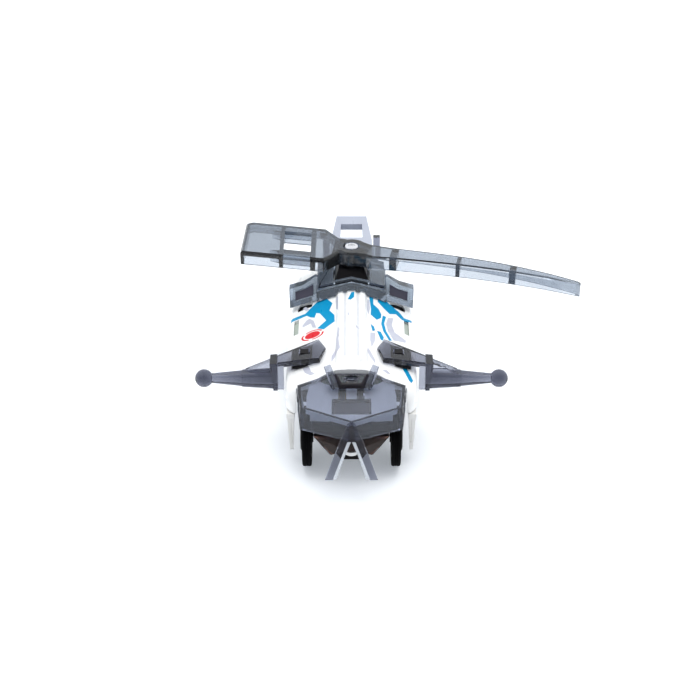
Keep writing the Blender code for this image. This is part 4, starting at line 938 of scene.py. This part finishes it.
def make_rotor():
    """A spinning weapon, hollow from below: a wide windowed cleaver and, opposite it, a long sabre."""
    centre = (0, ROTOR_Y)
    cleaver = [
        (-1.5, 4.2), (-4.1, 4.3), (-8.9, 9.0), (-30.6, 9.2),
        (-32.3, 7.9), (-29.6, -9.2), (-5.8, -9.1), (-2.6, -3.6),
    ]
    edge = sabre_strip(12.0, 64.0, 0.0, 24)
    sabre = [(1.0, -4.2), (4.2, -4.2), (7.0, -5.2), *edge, (5.4, 2.3), (1.5, 4.2)]
    window = [(-18.1, -5.6), (-10.4, -5.6), (-12.5, 5.2), (-20.2, 5.2)]
    cells = [
        [(-18.7, -8.5), (-19.15, -6.3), (-22.0, -5.75), (-19.35, -5.3), (-21.35, 4.9), (-24.2, 5.8),
         (-21.6, 5.8), (-21.95, 8.3), (-30.2, 8.4), (-31.2, 7.6), (-28.7, -8.5)],
        [(-20.4, 6.3), (-12.7, 6.3), (-13.1, 8.3), (-20.8, 8.3)],
        [(-17.6, -8.5), (-9.9, -8.5), (-10.2, -6.8), (-17.9, -6.8)],
        [(-8.5, -8.4), (-6.3, -8.4), (-4.7, -4.8), (-5.2, 3.9), (-9.2, 7.9), (-11.7, 8.2)],
    ]
    sabre_cells = [
        [(5.0, -3.6), (7.2, -4.4), (11.4, -4.0), (11.4, 0.7), (5.6, 1.5)],
        sabre_strip(13.4, 29.9, 0.6, 8),
        sabre_strip(31.0, 44.6, 0.6, 8),
        sabre_strip(46.4, 62.8, 0.6, 8),
    ]
    low, top = ROTOR_LOW_Z, ROTOR_TOP_Z
    blades = [
        prism(turned_about_z(cleaver, centre, ROTOR_TURN), "z", low, top, 0.0, ROTOR_CHAMFER),
        prism(turned_about_z(sabre, centre, ROTOR_TURN), "z", low + 0.05, top - 0.05, 0.0, ROTOR_CHAMFER),
    ]
    hub_rim = [(0, low), (ROTOR_HUB_R, low), (ROTOR_HUB_R, top - 0.5), (ROTOR_HUB_R - 0.5, top), (0, top)]
    cuts = [
        prism(turned_about_z(window, centre, ROTOR_TURN), "z", 20.0, 40.0),
        cylinder("z", centre, ROTOR_BORE_R, 20.0, 40.0),
        cylinder("z", centre, ROTOR_HEAD_R + 0.5, top - 1.0, 40.0),
    ]
    for group, wall in ((cells, ROTOR_WALL), (sabre_cells, SABRE_WALL)):
        for cell in group:
            cuts.append(prism(turned_about_z(cell, centre, ROTOR_TURN), "z", 20.0, top - wall))
    hub = turned(hub_rim, "z", centre)
    piece("rotor_blades", "spinning_weapon", SMOKE_ROTOR, hub, blades, cuts,
          stands_for=["rotor"])


def make_screw():
    """A pan head with a cross recess, on a shouldered pin."""
    low, head = ROTOR_TOP_Z - 0.9, ROTOR_TOP_Z + 0.35
    pin_r, shoulder_z = 1.37, ROTOR_LOW_Z - GAP + 0.1
    dome = [(ROTOR_HEAD_R * cos(a), head - 0.45 + 0.45 * sin(a)) for a in (0.0, 0.35, 0.7, 1.05, 1.35)]
    pin = [(0, 23.0), (0.8, 23.0), (0.8, shoulder_z), (pin_r, shoulder_z), (pin_r, low)]
    profile = [*pin, (ROTOR_HEAD_R, low), *dome, (0, head)]
    cross = [
        box((-1.0, ROTOR_Y - 0.2, head - 0.4), (1.0, ROTOR_Y + 0.2, head + 1.0)),
        box((-0.2, ROTOR_Y - 1.0, head - 0.4), (0.2, ROTOR_Y + 1.0, head + 1.0)),
    ]
    body = turned(profile, "z", (0, ROTOR_Y))
    piece("pan_head_screw", "chassis", STEEL, body, cut=cross, edge=0.05,
          stands_for=["rotor_screw"])


def make_wheels():
    """Plain tyres with a groove near each rim. The hubs are the CAD model's own."""
    inner, outer = TYRE_INNER, TYRE_OUTER
    flat_r, flat_x = WHEEL_R - TYRE_EDGE_R, outer - TYRE_EDGE_R
    angles = (0.0, 0.4, 0.8, 1.2, 1.57)
    half_round = [(flat_r + TYRE_EDGE_R * sin(a), flat_x + TYRE_EDGE_R * cos(a)) for a in angles]
    groove_r = WHEEL_R - 0.12
    tread = [
        (WHEEL_R, outer - 0.85), (groove_r, outer - 0.92),
        (groove_r, outer - 1.02), (WHEEL_R, outer - 1.1),
    ]
    other = [(r, inner + outer - x) for r, x in reversed(half_round + tread)]
    section = [(TYRE_BORE_R, outer - 0.15), *half_round, *tread, *other, (TYRE_BORE_R, inner + 0.15)]
    for side, word in ((-1, "left"), (1, "right")):
        tyre = turned([(r, side * x) for r, x in section], "x", (AXLE_Y, AXLE_Z), 96)
        piece(f"{word}_tyre", "drive_wheels", RUBBER, tyre, edge=0,
              stands_for=[f"tyre_{word}"], smooth=50)


def dress_the_rest():
    """Finished materials for the CAD nodes that stay."""
    screws = ["battery_cover_screw", "shell_screw_1", "shell_screw_2", "shell_screw_3", "shell_screw_4"]
    cells = ["button_cell_front", "button_cell_middle", "button_cell_rear"]
    dress(["chassis_tub", "battery_cover", "mask_mount", "arm_socket_left", "arm_socket_right"], BLACK)
    dress(["rotor_post", "switch_knob", "wheel_hub_left", "wheel_hub_right", "control_chip"], BLACK)
    dress(["motor_driver_chip"], BLACK)
    dress(["nose_bumper", "rear_skid"], RUBBER, 0)
    dress([*screws, *cells, "drive_axle", "idler_pin", "motor_can", "motor_shaft"], STEEL, 0)
    dress(["switch_body", "shock_sensor_spring"], STEEL, 0)
    dress(["battery_contact_top", "battery_contact_end", "motor_pinion", "shock_sensor_post"], BRASS, 0)
    dress(["axle_gear", "idler_gear"], NYLON, 0)
    dress(["nose_collar"], WHITE, 0)
    dress(["tail_loop"], PALE)
    dress(["tail_yoke"], SMOKE_ARM)
    dress(["chin_guard"], CHIN_SMOKE)
    dress(["circuit_board"], BOARD, 0)
    dress(["status_led", "light_pipe"], LENS, 0)


# --- stage ---


def make_stage():
    """A pale floor that glows a little; its bluish glow is painted light that lightens and tints the shadows
    on it.
    """
    half = 6000.0
    corners = [(x * half, y * half, 0) for x, y in ((-1, -1), (1, -1), (1, 1), (-1, 1))]
    floor_mesh = mesh_from(corners, [(0, 1, 2, 3)])
    floor = bpy.data.objects.new("floor", floor_mesh)
    bpy.context.scene.collection.objects.link(floor)
    floor.location.z = (FLOOR_Z - FLOOR_GAP) * MM
    board = moulded("floor_white_glowing", (0.80, 0.81, 0.825), (0.78, 0.79, 0.805), (0.5, 0.6), 5.0, 0.0, 90.0)
    shader = board.node_tree.nodes["Principled BSDF"]
    # Painted light: a faint bluish glow that lightens the floor's shadows.
    set_fixed(shader, Emission_Color=(0.86, 0.93, 1.0, 1.0), Emission_Strength=0.31)
    floor_mesh.materials.append(board)


def soft_light(name, place, target, size, power, colour):
    """A large soft area light aimed at a point."""
    data = bpy.data.lights.new(name, "AREA")
    data.shape = "RECTANGLE"
    data.size, data.size_y = size
    data.energy = power
    data.color = colour
    light = bpy.data.objects.new(name, data)
    bpy.context.scene.collection.objects.link(light)
    light.location = place
    light.visible_glossy = False
    light.rotation_euler = (Vector(target) - Vector(place)).to_track_quat("-Z", "Y").to_euler()


def make_lights():
    """A pale sky that is dimmer towards the raised front, and one soft light from above."""
    world = bpy.data.worlds.new("studio")
    bpy.context.scene.world = world
    world.use_nodes = True
    tree = world.node_tree
    direction = tree.nodes.new("ShaderNodeTexCoord").outputs["Generated"]
    parts = linked(tree, "ShaderNodeSeparateXYZ", {"Vector": direction}).outputs

    def rise(value, low, high):
        inputs = {"Value": value, "From Min": low, "From Max": high, "To Min": 0.0, "To Max": 1.0}
        return linked(tree, "ShaderNodeMapRange", inputs, interpolation_type="SMOOTHSTEP").outputs["Result"]

    front, raised = rise(parts["Y"], -0.15, -0.55), rise(parts["Z"], 0.12, 0.35)
    dim = linked(tree, "ShaderNodeMath", {0: front, 1: raised}, operation="MULTIPLY").outputs["Value"]
    sky = two_tone(tree, dim, (1.16, 1.19, 1.22), (0.36, 0.37, 0.42))
    tree.links.new(sky, tree.nodes["Background"].inputs["Color"])
    soft_light("top_softbox", (0.05, 0.15, 0.8), (0, 0, 0), (0.7, 0.7), 4.8, (1.0, 0.99, 0.97))
    bpy.context.scene.view_settings.view_transform = "Standard"


def make_camera():
    """The main view: from in front, looking 32 degrees down."""
    data = bpy.data.cameras.new("camera")
    data.lens = 74.88
    data.sensor_width = 36.0
    data.shift_x = -0.0021
    data.clip_start = 0.01
    camera = bpy.data.objects.new("camera", data)
    bpy.context.scene.collection.objects.link(camera)
    camera.location = (0.0, -0.34156, 0.22331)
    camera.rotation_euler = (radians(90 - 32), 0.0, 0.0)
    bpy.context.scene.camera = camera


make_camera()
make_lights()
make_stage()
make_carapace()
make_print()
make_legs()
make_mask()
make_mount_plate()
make_fork()
make_arm(-1, "left")
make_arm(1, "right")
make_saddle()
make_rotor()
make_screw()
make_wheels()
dress_the_rest()
